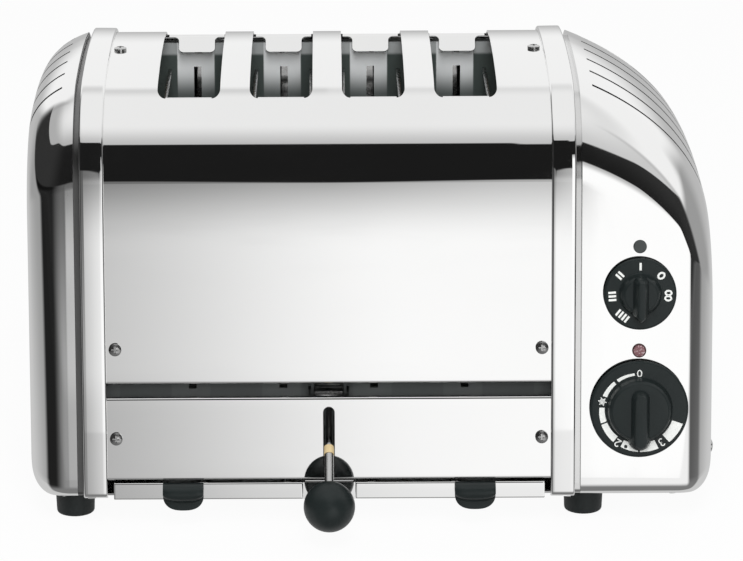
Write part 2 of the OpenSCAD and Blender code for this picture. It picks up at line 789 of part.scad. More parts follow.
// Strip along the bottom of the front face, in three lengths
module front_strip(x0, x1) {
  along_x(x0, x1) face_2d() translate([0, -strip_t]) square([tray_front_h, strip_t]);
}
module centre_tray_rail() {
  back = half_depth - strip_in;
  rail_h = face_z(panel_low) - fold_d * sin(lean) - fit_gap - base_z;
  color("gainsboro") {
    difference() {
      union() {
        translate([-rail_half, -back, base_z]) cube([2 * rail_half, 2 * back, rail_h]);
        translate([-tray_in - ledge_w, -runner_back, base_z])
          cube([2 * (tray_in + ledge_w), 2 * runner_back, runner_t]);
      }
      translate([-rail_half + runner_t, -half_depth, base_z - runner_t])
        cube([2 * (rail_half - runner_t), 2 * half_depth, rail_h]);
    }
    front_strip(-rail_half, rail_half);
  }
}
module crumb_tray() {
  front = half_depth - strip_in;
  w = tray_out - tray_in;
  color("gainsboro") {
    difference() {
      translate([tray_in, -front, tray_floor])
        cube([w, front + tray_back, tray_top - tray_floor - runner_t]);
      translate([tray_in + tray_t, -front + tray_t, tray_floor + tray_t])
        cube([w - 2 * tray_t, front + tray_back - 2 * tray_t, tray_top]);
    }
    front_strip(tray_in, tray_out);
  }
}
module right_crumb_tray() { crumb_tray(); }
module left_crumb_tray() { mirror([1, 0, 0]) crumb_tray(); }
// Thumb pull: a hooded lip with a rounded lower end, on the tray's front
pull_low = -5.3;
pull_out = 6.5;
pull_t = 1.8;
pull_lip_r = 4.5;
module tray_pull() {
  r = pull_w * 0.42;
  lip_low = tray_front_h - 2 * pull_lip_r;
  color([0.13, 0.15, 0.15]) intersection() {
    along_x(pull_x - pull_w / 2, pull_x + pull_w / 2) face_2d() {
      translate([pull_low, 0]) square([tray_front_h - pull_low - fit_gap, pull_t]);
      difference() {
        union() {
          translate([tray_front_h - pull_lip_r, pull_out - pull_lip_r]) circle(pull_lip_r);
          translate([tray_front_h - pull_lip_r, pull_t / 2])
            square([pull_lip_r, pull_out - pull_lip_r - pull_t / 2]);
          translate([lip_low, 0]) square([2 * pull_lip_r - fit_gap, pull_out - pull_lip_r]);
        }
        translate([lip_low - 1, pull_out]) circle(pull_lip_r);
      }
    }
    on_face(pull_x, 0) linear_extrude(2 * pull_out) {
      for (x = [-1, 1]) translate([x * (pull_w / 2 - r), pull_low + r]) circle(r);
      translate([-pull_w / 2 + r, pull_low]) square([pull_w - 2 * r, 2 * r]);
      translate([-pull_w / 2, pull_low + r]) square([pull_w, 2 * tray_front_h]);
    }
  }
}
module right_tray_pull() { tray_pull(); }
module left_tray_pull() { mirror([1, 0, 0]) tray_pull(); }

// Lever: bracket and pin on the front guide plate, then rod, arm and lift pin
pin_slack = 0.02;
pin_head_t = 1.2;
pin_head_d = pin_d + 2;
module at_pivot(half) { along_x(-half, half) translate([pivot_y, pivot_z]) children(); }
module lever_bracket() {
  top = bracket_low + bracket_h;
  lip = 4;
  half = bracket_x + plate_t;
  color("silver") difference() {
    union() {
      for (x = [-half, bracket_x]) along_x(x, x + plate_t) {
        polygon([
          [-guide_out, top], [-guide_out - lip, top], [pivot_y - hub_r, pivot_z],
          [pivot_y, pivot_z - hub_r], [-guide_out, pivot_z],
        ]);
        translate([pivot_y, pivot_z]) circle(hub_r);
      }
      translate([-half, -guide_out - plate_t, bracket_low]) cube([2 * half, plate_t, bracket_h]);
    }
    at_pivot(2 * half) circle(d = pin_d + pin_slack);
  }
}
module lever_pivot_pin() {
  half = bracket_x + plate_t;
  color("silver") {
    at_pivot(half + pin_head_t / 2) circle(d = pin_d);
    for (side = [0, 1]) mirror([side, 0, 0]) along_x(half, half + pin_head_t)
      translate([pivot_y, pivot_z]) circle(d = pin_head_d);
  }
}
module ejector_lever() {
  hub_x = bracket_x - run_gap;
  root_r = hub_r - 0.5;
  tip_r = pin_d / 2 + 0.5;
  eye_r = tip_r + 1;
  color("silver") difference() {
    union() {
      at_pivot(hub_x) circle(hub_r);
      on_rod() cylinder(d = rod_d, h = rod_len);
      along_x(-arm_t / 2, arm_t / 2) {
        translate([pivot_y, pivot_z]) rotate(arm_a)
          polygon([[0, -root_r], [arm_len, -tip_r], [arm_len, tip_r], [0, root_r]]);
        translate([0, pin_z]) circle(eye_r);
      }
      along_x(-lug_x - 2 * lug_t, lug_x + 2 * lug_t) translate([0, pin_z]) circle(d = pin_d);
    }
    at_pivot(2 * hub_x) circle(d = pin_d + 2 * shaft_gap);
  }
}
// Pieces threaded on the rod: z runs outwards along it, from the pivot
module on_rod() { translate([0, pivot_y, pivot_z]) rotate([90 + lever_drop, 0, 0]) children(); }
module lever_collar() {
  start = rod_len - rod_out + collar_out - collar_len / 2;
  color([0.86, 0.76, 0.55]) on_rod() translate([0, 0, start]) difference() {
    cylinder(d = collar_d, h = collar_len);
    translate([0, 0, -sink]) cylinder(d = rod_d, h = collar_len + 2 * sink);
  }
}
module lever_ball() {
  seat = 0.5;
  color([0.12, 0.14, 0.14]) on_rod() difference() {
    translate([0, 0, rod_len]) rotate_extrude($fn = 96) intersection() {
      circle(d = ball_d);
      translate([0, -ball_d / 2 + seat]) square(ball_d);
    }
    cylinder(d = rod_d, h = rod_len);
  }
}
// Lift carriage under the boards, with a slotted bracket for the lift pin
module lift_carriage() {
  sweep = arm_len * (1 - cos(arm_a));
  slot_half = pin_d / 2 + run_gap;
  wall = slot_half + lug_t;
  color("silver") {
    translate([slot_x(0) - bar_d / 2, -bar_d / 2, pin_z + bar_low])
      cube([slot_x(slot_count - 1) - slot_x(0) + bar_d, bar_d, bar_t]);
    for (x = [-lug_x - lug_t, lug_x]) along_x(x, x + lug_t) difference() {
      translate([-wall - lug_t, pin_z - wall])
        square([sweep + 2 * (wall + lug_t), wall + bar_low + bar_t / 2]);
      translate([0, pin_z - slot_half]) square([sweep, 2 * slot_half]);
      for (y = [0, sweep]) translate([y, pin_z]) circle(slot_half);
    }
  }
}
module bread_rack(k) {
  fingers = 5;
  finger_w = 4;
  strip_w = rack_w * 0.4;
  post_w = 6;
  first = guide_in * 0.86;
  step = (2 * first - finger_w) / (fingers - 1);
  back = guide_in - 1;
  tongue = guide_out + finger_w;
  color("silver") translate([slot_x(k), 0, 0]) {
    translate([-strip_w / 2, -back, rack_z]) cube([strip_w, 2 * back, rack_t]);
    translate([-tongue_w / 2, -tongue, rack_z]) cube([tongue_w, 2 * tongue, rack_t]);
    for (i = [0:fingers - 1])
      translate([-rack_w / 2, -first + i * step, rack_z]) cube([rack_w, finger_w, rack_t]);
    translate([-post_w / 2, -bar_d / 2 + 1, pin_z + bar_low + bar_t])
      cube([post_w, bar_d - 2, rack_rise - bar_low - bar_t + rack_t / 2]);
  }
}
// Controls on the right-hand end: works behind the cover, knobs in front
dial_up = 1.6;
dial_edge = 0.9;
shaft_end = 4;
timer_box = [40, 28];
selector_box = [34, 22];
timer_hub_d = 32.4;
selector_hub_d = 20.5;
module at_timer() { on_face(control_x, timer_up) children(); }
module at_selector() { on_face(control_x, selector_up) children(); }
module shaft_works(box, shaft) {
  bush = shaft + bush_wall - hole_slack;
  back = -cover_t - box[1];
  difference() {
    union() {
      translate([-box[0] / 2, -box[0] / 2, back]) cube([box[0], box[0], box[1]]);
      translate([0, 0, -cover_t - sink]) cylinder(d = bush, h = cover_t + sink + dial_up / 2);
    }
    translate([0, 0, back + shaft_end]) cylinder(d = shaft + 2 * shaft_gap, h = 2 * box[1]);
  }
}
module shaft_rod(box, shaft) {
  low = -cover_t - box[1] + shaft_end + 1;
  translate([0, 0, low]) cylinder(d = shaft, h = dial_up + dial_t + grip_h / 2 - low);
}
module timer_unit() { color("dimgray") at_timer() shaft_works(timer_box, timer_shaft_d); }
module timer_shaft() { color("silver") at_timer() shaft_rod(timer_box, timer_shaft_d); }
module selector_switch() { color("dimgray") at_selector() shaft_works(selector_box, selector_shaft_d); }
module selector_shaft() { color("silver") at_selector() shaft_rod(selector_box, selector_shaft_d); }
// Dial with a bevelled edge and a stepped boss, standing clear of the cover
module dial(d) {
  rotate_extrude() translate([0, dial_up])
    polygon([[0, 0], [d / 2, 0], [d / 2, dial_t - dial_edge], [d / 2 - dial_edge, dial_t], [0, dial_t]]);
}
module boss(d, h, bevel) {
  r = d / 2;
  top = dial_t + h;
  translate([0, 0, dial_up]) rotate_extrude()
    polygon([[0, 0], [r, 0], [r - bevel / 2, top - bevel], [r - bevel, top], [0, top]]);
}
// Finger ridge: an outline raised to grip_h, with its sides drawn in from width w to a narrow crest
module grip_bar(w) {
  h = dial_t / 2 + grip_h;
  crest = w * 0.21;
  translate([0, 0, dial_up + dial_t / 2]) intersection() {
    linear_extrude(h) children();
    along_y(2 * w + 2 * grip_h)
      polygon([[-w / 2, 0], [w / 2, 0], [w / 2, h * 0.45], [crest, h], [-crest, h], [-w / 2, h * 0.45]]);
  }
}
module knob_bore(shaft) {
  cylinder(d = shaft + 3 * pin_slack, h = dial_up + dial_t + grip_h / 2 + fit_gap);
}
module timer_knob() {
  bar_w = 11.5;
  top = timer_hub_d * 0.38 - bar_w / 2;
  low = timer_d * 0.418 - bar_w / 2;
  color([0.13, 0.15, 0.15]) at_timer() difference() {
    union() {
      dial(timer_d);
      boss(timer_hub_d, grip_h * 0.55, 2);
      grip_bar(bar_w) {
        for (y = [-low, top]) translate([0, y]) circle(d = bar_w);
        translate([-bar_w / 2, -low]) square([bar_w, low + top]);
      }
    }
    knob_bore(timer_shaft_d);
  }
}
module selector_knob() {
  w = selector_hub_d * 0.2;
  top = selector_hub_d / 2 - 1;
  tip = selector_d * 0.376;
  color([0.13, 0.15, 0.15]) at_selector() difference() {
    union() {
      dial(selector_d);
      boss(selector_hub_d, grip_h * 0.4, 2);
      grip_bar(2 * w) polygon([
        [-w, top - w / 2], [-w / 2, top], [w / 2, top], [w, top - w / 2],
        [w, -tip + w], [0, -tip], [-w, -tip + w],
      ]);
    }
    knob_bore(selector_shaft_d);
  }
}
// Red lens with a low dome, clipped through the cover into its holder
module lamp_lens() {
  dome_h = 1.2;
  dome_r = lamp_d * 0.9;
  color([0.62, 0.13, 0.18]) on_face(control_x, lamp_up) rotate_extrude() {
    intersection() {
      translate([0, -dome_r]) circle(dome_r + dome_h);
      square([lamp_d / 2, 2 * dome_h]);
    }
    translate([0, -cover_t]) square([lamp_stem / 2, cover_t + sink]);
  }
}
module lamp_holder() {
  len = 2 * lamp_d;
  color("dimgray") on_face(control_x, lamp_up) translate([0, 0, -cover_t - len])
    cylinder(d = lamp_d * 1.35, h = len);
}
module index_plug() {
  r = index_d / 2;
  h = 0.9;
  color([0.25, 0.27, 0.27]) on_face(control_x, index_up) rotate_extrude() {
    polygon([[0, 0], [r, 0], [r, h / 2], [r - h / 2, h], [0, h]]);
    translate([0, -cover_t - h]) square([index_stem / 2, cover_t + h + sink]);
  }
}
// Bush for the mains lead, in the back of the right-hand end cover
module cord_gland() {
  rim_d = gland_d + 5;
  rim_h = 2.5;
  color([0.13, 0.14, 0.14]) on_back(gland[0], gland[1]) difference() {
    union() {
      cylinder(d = rim_d, h = rim_h);
      translate([0, 0, -cover_t - gland_len]) cylinder(d = gland_d, h = cover_t + gland_len + sink);
    }
    translate([0, 0, -cover_t - gland_len - sink]) cylinder(d = gland_bore, h = cover_t + 2 * gland_len);
  }
}

place() body_shell();
place() front_panel();
place() rear_panel();
place() left_end_frame();
place() right_end_frame();
place() left_end_cover();
place() right_end_cover();
place() left_base_plate();
place() right_base_plate();
place() feet();
place() foot_screws();
place() shell_screws();
place() panel_screws();
place() end_screws();
place() base_screws();
place() front_guide_plate();
place() rear_guide_plate();
for (k = [0:slot_count]) {
  place() mica_board(k);
  place() heating_ribbon(k);
}
for (k = [0:slot_count - 1]) {
  place() bread_guard(k);
  place() bread_rack(k);
}
place() left_tray_runner();
place() right_tray_runner();
place() centre_tray_rail();
place() left_crumb_tray();
place() right_crumb_tray();
place() left_tray_pull();
place() right_tray_pull();
place() lever_bracket();
place() lever_pivot_pin();
place() ejector_lever();
place() lever_collar();
place() lever_ball();
place() lift_carriage();
place() timer_unit();
place() timer_shaft();
place() timer_knob();
place() selector_switch();
place() selector_shaft();
place() selector_knob();
place() lamp_lens();
place() lamp_holder();
place() index_plug();
place() cord_gland();
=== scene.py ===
import bmesh
import bpy
import numpy as np
from mathutils import Matrix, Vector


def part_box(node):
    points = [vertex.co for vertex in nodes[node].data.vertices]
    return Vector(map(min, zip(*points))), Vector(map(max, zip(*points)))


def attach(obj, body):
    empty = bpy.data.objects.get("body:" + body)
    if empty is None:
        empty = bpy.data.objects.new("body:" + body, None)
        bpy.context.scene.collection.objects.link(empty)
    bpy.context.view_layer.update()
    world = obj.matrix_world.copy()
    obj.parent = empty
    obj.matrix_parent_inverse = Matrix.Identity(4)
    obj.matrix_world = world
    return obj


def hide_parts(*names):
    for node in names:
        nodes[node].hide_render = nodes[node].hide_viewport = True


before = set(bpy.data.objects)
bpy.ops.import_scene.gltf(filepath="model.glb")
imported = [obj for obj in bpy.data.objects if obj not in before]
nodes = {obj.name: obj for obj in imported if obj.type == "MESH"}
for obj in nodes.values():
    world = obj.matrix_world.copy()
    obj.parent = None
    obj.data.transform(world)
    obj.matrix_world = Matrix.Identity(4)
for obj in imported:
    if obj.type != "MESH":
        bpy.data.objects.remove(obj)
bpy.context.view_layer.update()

# Body shell: one stainless sheet, polished to a mirror and bent over the front, top and back.
# Four bread slots are punched in it with a tab turned down at each end, and both lower edges
# are folded in above the vent gap. Sizes are in millimetres from the lever's upright plane.
HALF, TOP, BASE = 113.5, 219.0, 15.0
LEAN, SLOPE = np.radians(7.0), np.radians(6.6)
SHOULDER, SHEET, FOLD, FOLD_IN = 48.0, 1.0, 1.1, 4.0
VENT_LOW, VENT_TOP, SHELL_END, RIM_X = 52.0, 59.0, 116.45, 110.75
SLOT_PITCH, SLOT_HALF, TAB_ROOT, TAB_HALF, TAB_BEND, TAB_RUN = 46.0, 15.65, 68.9, 9.5, 2.0, 9.2
TAB_LEAN, TAB_R, TAB_FILLET, LIP_RUN = np.radians(40.0), 2.4, 2.5, 0.25
SLOT_X = SLOT_PITCH * (np.arange(4) - 1.5)
FRONT_CORNER, REAR_CORNER = (62.0, 11.5), (67.4, 14.65)
shell_low, shell_high = (np.array(corner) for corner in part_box("body_shell"))
CENTRE = (shell_low + shell_high) / 2 * [1, 1, 0]


def arcs(half, top, r):
    """Shoulder centre (y, z) and crown radius, for a face that stands half from the middle at BASE:
    the shoulder touches the leaning face, and the crown touches the shoulder where it slopes by SLOPE."""
    lean, slope = np.tan(LEAN), np.tan(SLOPE / 2)
    y = (half - r / np.cos(LEAN) - (top - r - BASE) * lean) / (1 - slope * lean)
    return y, top - r - y * slope, r + y / np.sin(SLOPE)


ARC_Y, ARC_Z, CROWN = arcs(HALF, TOP, SHOULDER)
FACE = (ARC_Z + SHOULDER * np.sin(LEAN) - BASE) / np.cos(LEAN)
BEND = SHOULDER * (np.pi / 2 - LEAN - SLOPE)
LENGTH = 2 * (FACE + BEND + CROWN * SLOPE)


def profile(s, n=0.0):
    """(y, z) of the side view at length s up the front and over the top, n outside the sheet:
    a leaning line, a shoulder arc and half a crown arc, and the same again mirrored."""
    s, n = np.broadcast_arrays(np.asarray(s, float), n)
    u = np.minimum(s, LENGTH - s)
    on_face, on_bend = u < FACE, u < FACE + BEND
    bend_turn = np.pi - LEAN - (u - FACE) / SHOULDER
    crown_turn = np.pi / 2 + SLOPE - (u - FACE - BEND) / CROWN
    turn = np.where(on_face, np.pi - LEAN, np.where(on_bend, bend_turn, crown_turn))
    y = np.where(on_bend, -ARC_Y + SHOULDER * np.cos(turn), CROWN * np.cos(turn))
    z = np.where(on_bend, ARC_Z + SHOULDER * np.sin(turn), TOP - CROWN + CROWN * np.sin(turn))
    y = np.where(on_face, -HALF + u * np.sin(LEAN), y) + n * np.cos(turn)
    z = np.where(on_face, BASE + u * np.cos(LEAN), z) + n * np.sin(turn)
    return np.where(s > LENGTH / 2, -y, y), z


def length_at(y):
    """Length s at which the front half of the top passes depth y, the inverse of profile."""
    turn = np.where(-y > CROWN * np.sin(SLOPE), np.arccos((y + ARC_Y) / SHOULDER), np.arccos(y / CROWN))
    on_bend = FACE + SHOULDER * (np.pi - LEAN - turn)
    on_crown = FACE + BEND + CROWN * (np.pi / 2 + SLOPE - turn)
    return np.where(-y > CROWN * np.sin(SLOPE), on_bend, on_crown)


def grid(points, keep=None):
    """Points of a surface (rows, columns, 3) and its quads, less those that keep leaves out."""
    rows, columns = points.shape[:2]
    at = np.arange(rows * columns).reshape(rows, columns)
    quads = np.stack([at[:-1, :-1], at[:-1, 1:], at[1:, 1:], at[1:, :-1]], 2)
    quads = quads.reshape(-1, 4) if keep is None else quads[keep]
    return points.reshape(-1, 3), quads


def in_rows(x, y, z):
    """Points of a surface from x in rows and columns, with one y and one z for each row."""
    return np.dstack([x, y[:, None] + 0 * x, z[:, None] + 0 * x])


def join(*parts):
    """Several (points, quads) as one."""
    starts = np.cumsum([0] + [len(p) for p, q in parts[:-1]])
    return np.concatenate([p for p, q in parts]), np.concatenate([q + k for (p, q), k in zip(parts, starts)])


def sheet_metal(points, quads, thick):
    """A sheet from its outer skin: equal points are welded, the skin is copied inwards by thick along its
    vertex normals, and each open edge gets a strip of quads between the two."""
    unique, place = np.unique(np.round(points, 5), axis=0, return_inverse=True)
    quads = place.reshape(-1)[quads]
    a, b, c, d = (unique[quads[:, k]] for k in range(4))
    normal = np.cross(c - a, d - b)
    total = np.zeros_like(unique)
    unit = normal / np.maximum(np.linalg.norm(normal, axis=1), 1e-12)[:, None]
    np.add.at(total, quads.reshape(-1), np.repeat(unit, 4, 0))
    inner = unique - thick * total / np.maximum(np.linalg.norm(total, axis=1), 1e-12)[:, None]
    edges = np.stack([quads, np.roll(quads, -1, 1)], 2).reshape(-1, 2)
    _, first, count = np.unique(np.sort(edges, 1), axis=0, return_index=True, return_counts=True)
    rim, n = edges[first[count == 1]], len(unique)
    strip = np.stack([rim[:, 1], rim[:, 0], rim[:, 0] + n, rim[:, 1] + n], 1)
    return np.concatenate([unique, inner]), np.concatenate([quads, quads[:, ::-1] + n, strip])


def piece(name, part, finish, body, replaced=(), crease=32.0):
    """An object from (points, faces) in millimetres, merged, shaded smooth up to a crease angle,
    riding on a body and standing for the CAD nodes that it replaces."""
    mesh = bpy.data.meshes.new(name)
    mesh.from_pydata((part[0] / 1000 + CENTRE).tolist(), [], part[1].tolist())
    work = bmesh.new()
    work.from_mesh(mesh)
    bmesh.ops.remove_doubles(work, verts=work.verts, dist=2e-7)
    bmesh.ops.dissolve_degenerate(work, edges=work.edges, dist=1e-7)
    work.to_mesh(mesh)
    work.free()
    mesh.shade_smooth()
    mesh.set_sharp_from_angle(angle=np.radians(crease))
    mesh.materials.append(finish)
    made = bpy.data.objects.new(name, mesh)
    bpy.context.scene.collection.objects.link(made)
    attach(made, body)
    if replaced:
        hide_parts(*replaced)
    return made


class Socket:
    """A socket of a node tree. An operator on it adds a Math node, and make adds any other node."""

    # The places of a Mix node's factor, two colours and result among its sockets.
    FACTOR, FIRST, SECOND, MIXED = 0, 6, 7, 2

    def __init__(self, tree, out):
        self.tree, self.out = tree, out

    def make(self, kind, settings, inputs, out=0):
        node = self.tree.nodes.new(kind)
        for name, value in settings.items():
            setattr(node, name, value)
        for name, value in inputs.items():
            if isinstance(value, Socket):
                self.tree.links.new(value.out, node.inputs[name])
            else:
                node.inputs[name].default_value = value
        return Socket(self.tree, node.outputs[out])

    def math(self, operation, *values):
        return self.make("ShaderNodeMath", {"operation": operation}, dict(enumerate(values)))

    def __add__(self, other): return self.math("ADD", self, other)
    def __radd__(self, other): return self.math("ADD", other, self)
    def __sub__(self, other): return self.math("SUBTRACT", self, other)
    def __rsub__(self, other): return self.math("SUBTRACT", other, self)
    def __mul__(self, other): return self.math("MULTIPLY", self, other)
    def __rmul__(self, other): return self.math("MULTIPLY", other, self)

    def step(self, low, high, to_low=0.0, to_high=1.0):
        """Smooth change from to_low to to_high as this goes from low to high."""
        ends = {"From Min": low, "From Max": high, "To Min": to_low, "To Max": to_high}
        return self.make("ShaderNodeMapRange", {"interpolation_type": "SMOOTHSTEP"}, {"Value": self, **ends})

    def mix(self, first, second):
        """Colour between first and second, by this factor."""
        colours = {self.FACTOR: self, self.FIRST: first, self.SECOND: second}
        return self.make("ShaderNodeMix", {"data_type": "RGBA"}, colours, out=self.MIXED)

    def axes(self):
        """X, Y and Z of a vector."""
        split = self.make("ShaderNodeSeparateXYZ", {}, {0: self}).out.node
        return [Socket(self.tree, out) for out in split.outputs]

    def noise(self, scale, stretch=(1, 1, 1), detail=3.0):
        """Noise over these coordinates, with scale in features for each metre."""
        mapped = self.make("ShaderNodeMapping", {}, {"Vector": self, "Scale": stretch})
        return self.make("ShaderNodeTexNoise", {}, {"Vector": mapped, "Scale": scale, "Detail": detail})

    def bump(self, strength, distance):
        """Normal that this height tilts, with distance in metres."""
        return self.make("ShaderNodeBump", {}, {"Height": self, "Strength": strength, "Distance": distance})


def finish(name, **fixed):
    """A material with one Principled shader, its fixed sockets set, and its Object coordinates."""
    material = bpy.data.materials.new(name)
    material.use_nodes = True
    shader = material.node_tree.nodes["Principled BSDF"]
    for socket, value in fixed.items():
        shader.inputs[socket.replace("_", " ")].default_value = value
    coords = material.node_tree.nodes.new("ShaderNodeTexCoord")
    return material, shader, Socket(material.node_tree, coords.outputs["Object"])


def link(shader, **varying):
    """Feeds a shader's varying sockets."""
    for name, value in varying.items():
        value.tree.links.new(value.out, shader.inputs[name.replace("_", " ")])


def grey(level):
    """A colour of one level, a trace warm as metal is."""
    return (level, level, level * 0.995, 1)


# The polish is even, with faint wipe marks along the sheet that change its roughness.
polished_steel, shader, place = finish("polished_steel", Metallic=1.0)
wipe = place.noise(90, (0.15, 1, 1))
link(shader, Base_Color=place.noise(6).mix(grey(0.91), grey(0.94)),
     Roughness=wipe.step(0.3, 0.8, 0.015, 0.05))

quarter = np.linspace(0, np.pi / 2, 9)
fold_s, fold_n = FOLD * (1 - np.cos(quarter)), FOLD * (np.sin(quarter) - 1)
crest_y = CROWN * np.sin(SLOPE)
crossing = [start + (TAB_ROOT - start) * np.sin(quarter) for start, root in (FRONT_CORNER, REAR_CORNER)]
crossing = np.unique(np.concatenate([*crossing, crest_y + np.linspace(12, 0, 8)]))[::-1]
bend_s = np.linspace(FACE, length_at(-crossing[0]) - 1, 36)
face_s = np.append(VENT_TOP + FOLD + np.array([0.4, 30, 60, 98]), FACE - 0.5)
top_s = np.append(length_at(-crossing), length_at(-np.linspace(crest_y, 0, 12))[1:])
front_s = np.concatenate([[VENT_TOP], VENT_TOP + fold_s, face_s, bend_s, top_s])
front_n = np.concatenate([[-FOLD_IN], fold_n, np.zeros(len(front_s) - len(fold_n) - 1)])
row_s, row_n = np.append(front_s, LENGTH - front_s[-2::-1]), np.append(front_n, front_n[-2::-1])
row_y, row_z = profile(row_s, row_n)


def slot_edge(y):
    """Half widths of a slot at depth y, at its tab's root and at its edge: the corners are quarter ellipses
    from a start to that root, long at the front and short at the back."""
    start, root = np.where((y < 0)[:, None], FRONT_CORNER, REAR_CORNER).T
    share = np.clip((np.abs(y) - start) / (TAB_ROOT - start), 0, 1)
    return root, root + (SLOT_HALF - root) * np.sqrt(1 - share**2)


root, edge = slot_edge(row_y)
edges = np.stack([-edge, -root, root, edge], 1)
side = np.full((len(row_s), 1), SHELL_END)
row_x = np.hstack([-side, (SLOT_X[None, :, None] + edges[:, None]).reshape(len(row_s), -1), side])
in_tab = (np.abs(row_y[:-1] + row_y[1:]) / 2 < TAB_ROOT) & (np.minimum(row_s, LENGTH - row_s)[:-1] > FACE)
SOLID, OPEN, TABBED = range(3)
strip_kind = np.append(np.tile([SOLID, OPEN, TABBED, OPEN], 4), SOLID)
keep = (strip_kind == SOLID) | ((strip_kind == TABBED) & ~in_tab[:, None])


def tab(x, side):
    """The tab at one end of a slot: from the sheet's slope an arc of TAB_BEND down to TAB_LEAN, then a
    straight run that narrows by a fillet from the lip to the tab. Its lower corners are rounded by TAB_R."""
    root = FRONT_CORNER[1] if side > 0 else REAR_CORNER[1]
    y, z = profile(length_at(np.array([-TAB_ROOT])))
    start = np.arccos((y[0] + ARC_Y) / SHOULDER)
    turn, round_off = np.linspace(start, TAB_LEAN, 12), np.linspace(0, np.pi / 2 - 0.15, 6)
    flare = min(TAB_FILLET, root - TAB_HALF - 0.05)
    run = np.concatenate([[LIP_RUN - 0.02], LIP_RUN + flare * (1 - np.cos(quarter)),
                          TAB_RUN - TAB_R * (1 - np.sin(round_off))])
    half = np.concatenate([[root] * (len(turn) + 1), TAB_HALF + flare * (1 - np.sin(quarter)),
                           TAB_HALF - TAB_R * (1 - np.cos(round_off))])
    arc_y = y + TAB_BEND * (np.cos(turn) - np.cos(start))
    arc_z = z + TAB_BEND * (np.sin(turn) - np.sin(start))
    path_y = np.append(arc_y, arc_y[-1] + run * np.sin(TAB_LEAN))
    path_z = np.append(arc_z, arc_z[-1] - run * np.cos(TAB_LEAN))
    points = in_rows(x + half[:, None] * np.linspace(-1, 1, 7), side * path_y, path_z)
    return grid(points if side > 0 else points[::-1])


tabs = [tab(x, side) for x in SLOT_X for side in (1, -1)]
shell_sheet = sheet_metal(*join(grid(in_rows(row_x, row_y, row_z), keep), *tabs), SHEET)
piece("shell_sheet", shell_sheet, polished_steel, "frame", ["body_shell"])

# Lower panels: folded stainless strips below the vent gap, screwed to the end frames. The front
# one is pierced by the long slot that the lever swings in.
PANEL_LOW, LEVER_LOW, LEVER_TOP, LEVER_HALF, PAST_FOLD = 10.1, 15.07, 47.15, 2.9, 0.3


def panel(sign, slotted):
    """Folded strip from PANEL_LOW to VENT_LOW up the face. The columns beside the slot follow its ends, which
    are half circles of LEVER_HALF."""
    end = LEVER_HALF * (1 - np.cos(quarter))
    ends = np.append(LEVER_LOW + end, LEVER_TOP - end[::-1])
    flat = np.concatenate([[PANEL_LOW + FOLD + PAST_FOLD], ends, [VENT_LOW - FOLD - PAST_FOLD]])
    s = np.concatenate([[PANEL_LOW], PANEL_LOW + fold_s, flat, (VENT_LOW - fold_s)[::-1], [VENT_LOW]])
    n = np.concatenate([[-FOLD_IN], fold_n, np.zeros(len(flat)), fold_n[::-1], [-FOLD_IN]])
    past = np.maximum(np.maximum(LEVER_LOW + LEVER_HALF - s, s - LEVER_TOP + LEVER_HALF), 0)
    edge = np.sqrt(np.maximum(LEVER_HALF**2 - past**2, 0)) if slotted else 0 * s
    y, z = profile(s, n)
    x = np.stack([-SHELL_END + 0 * s, -edge, edge, SHELL_END + 0 * s], 1)
    kept = np.ones((len(s) - 1, 3), bool)
    kept[:, 1] = False
    points = in_rows(x, sign * y, z)
    return sheet_metal(*grid(points if sign > 0 else points[::-1], kept), SHEET)


piece("front_panel_sheet", panel(1, True), polished_steel, "frame", ["front_panel"])
piece("rear_panel_sheet", panel(-1, False), polished_steel, "frame", ["rear_panel"])

# End frames: aluminium castings, polished where they show. A raised rim closes each end of the
# shell, an upright web carries it, and a flange behind the sheets takes their screws.
RIM_W, RIM_PROUD, RIM_EDGE, RIM_END, RIM_CROWN = 12.0, 2.2, 1.0, 3.0, 400.0
RIM_LOW, RIM_BACK = 1.0, 0.1
WEB_IN, WEB_T, WEB_LOW, FLANGE_W, FLANGE_T, FLANGE_LOW = 116.75, 2.0, 17.5, 20.0, 1.5, 14.65
# The groove outside each rim is rougher than the polish and darkened by painted shade, much darker in the
# left one.
polished_aluminium, shader, place = finish("polished_aluminium", Metallic=1.0)
along = (place.axes()[0] - CENTRE[0]) * 1000
from_middle, at_left = along.math("ABSOLUTE", along), along.step(10.0, -10.0)
groove = from_middle.step(122.7, 123.0) * from_middle.step(125.95, 125.8)
# The groove's dark colour is painted shade, deepest at the left.
polish, groove_shade = place.noise(8).mix(grey(0.92), grey(0.945)), at_left.mix(grey(0.72), grey(0.22))
wipe = place.noise(70, (1, 1, 0.2)).step(0.3, 0.8, 0.02, 0.06)
link(shader, Base_Color=groove.mix(polish, groove_shade), Roughness=wipe + groove * at_left.step(0, 1, 0.06, 0.3))


def turn_in(x, r):
    """How far a quarter round of radius r has turned in, x along it."""
    return r - np.sqrt(np.maximum(0, r**2 - np.maximum(x, 0)**2))


def sweep(section, s, end_r=0.0, swell=0.0):
    """A closed section of (x, n) carried along the body's profile at the lengths s, with both ends rounded
    off by end_r and closed. Its outer points stand out further by swell, one value for each length."""
    section = np.vstack([section, section[:1]])
    from_end = np.minimum(s - s[0], s[-1] - s)[:, None]
    out = section[None, :, 1] - turn_in(end_r - from_end, end_r)
    y, z = profile(s[:, None], np.where(section[None, :, 1] > 0.5, out + np.reshape(swell, (-1, 1)), out))
    points = np.dstack([section[None, :, 0] + 0 * y, y, z])
    middle = points.mean(1, keepdims=True).repeat(points.shape[1], 1)
    return grid(np.concatenate([middle[:1], points, middle[-1:]]))


def mirrored(part):
    """The same piece on the other side of the lever's plane, with its faces turned back outwards."""
    return part[0] * [-1, 1, 1], part[1][:, ::-1]


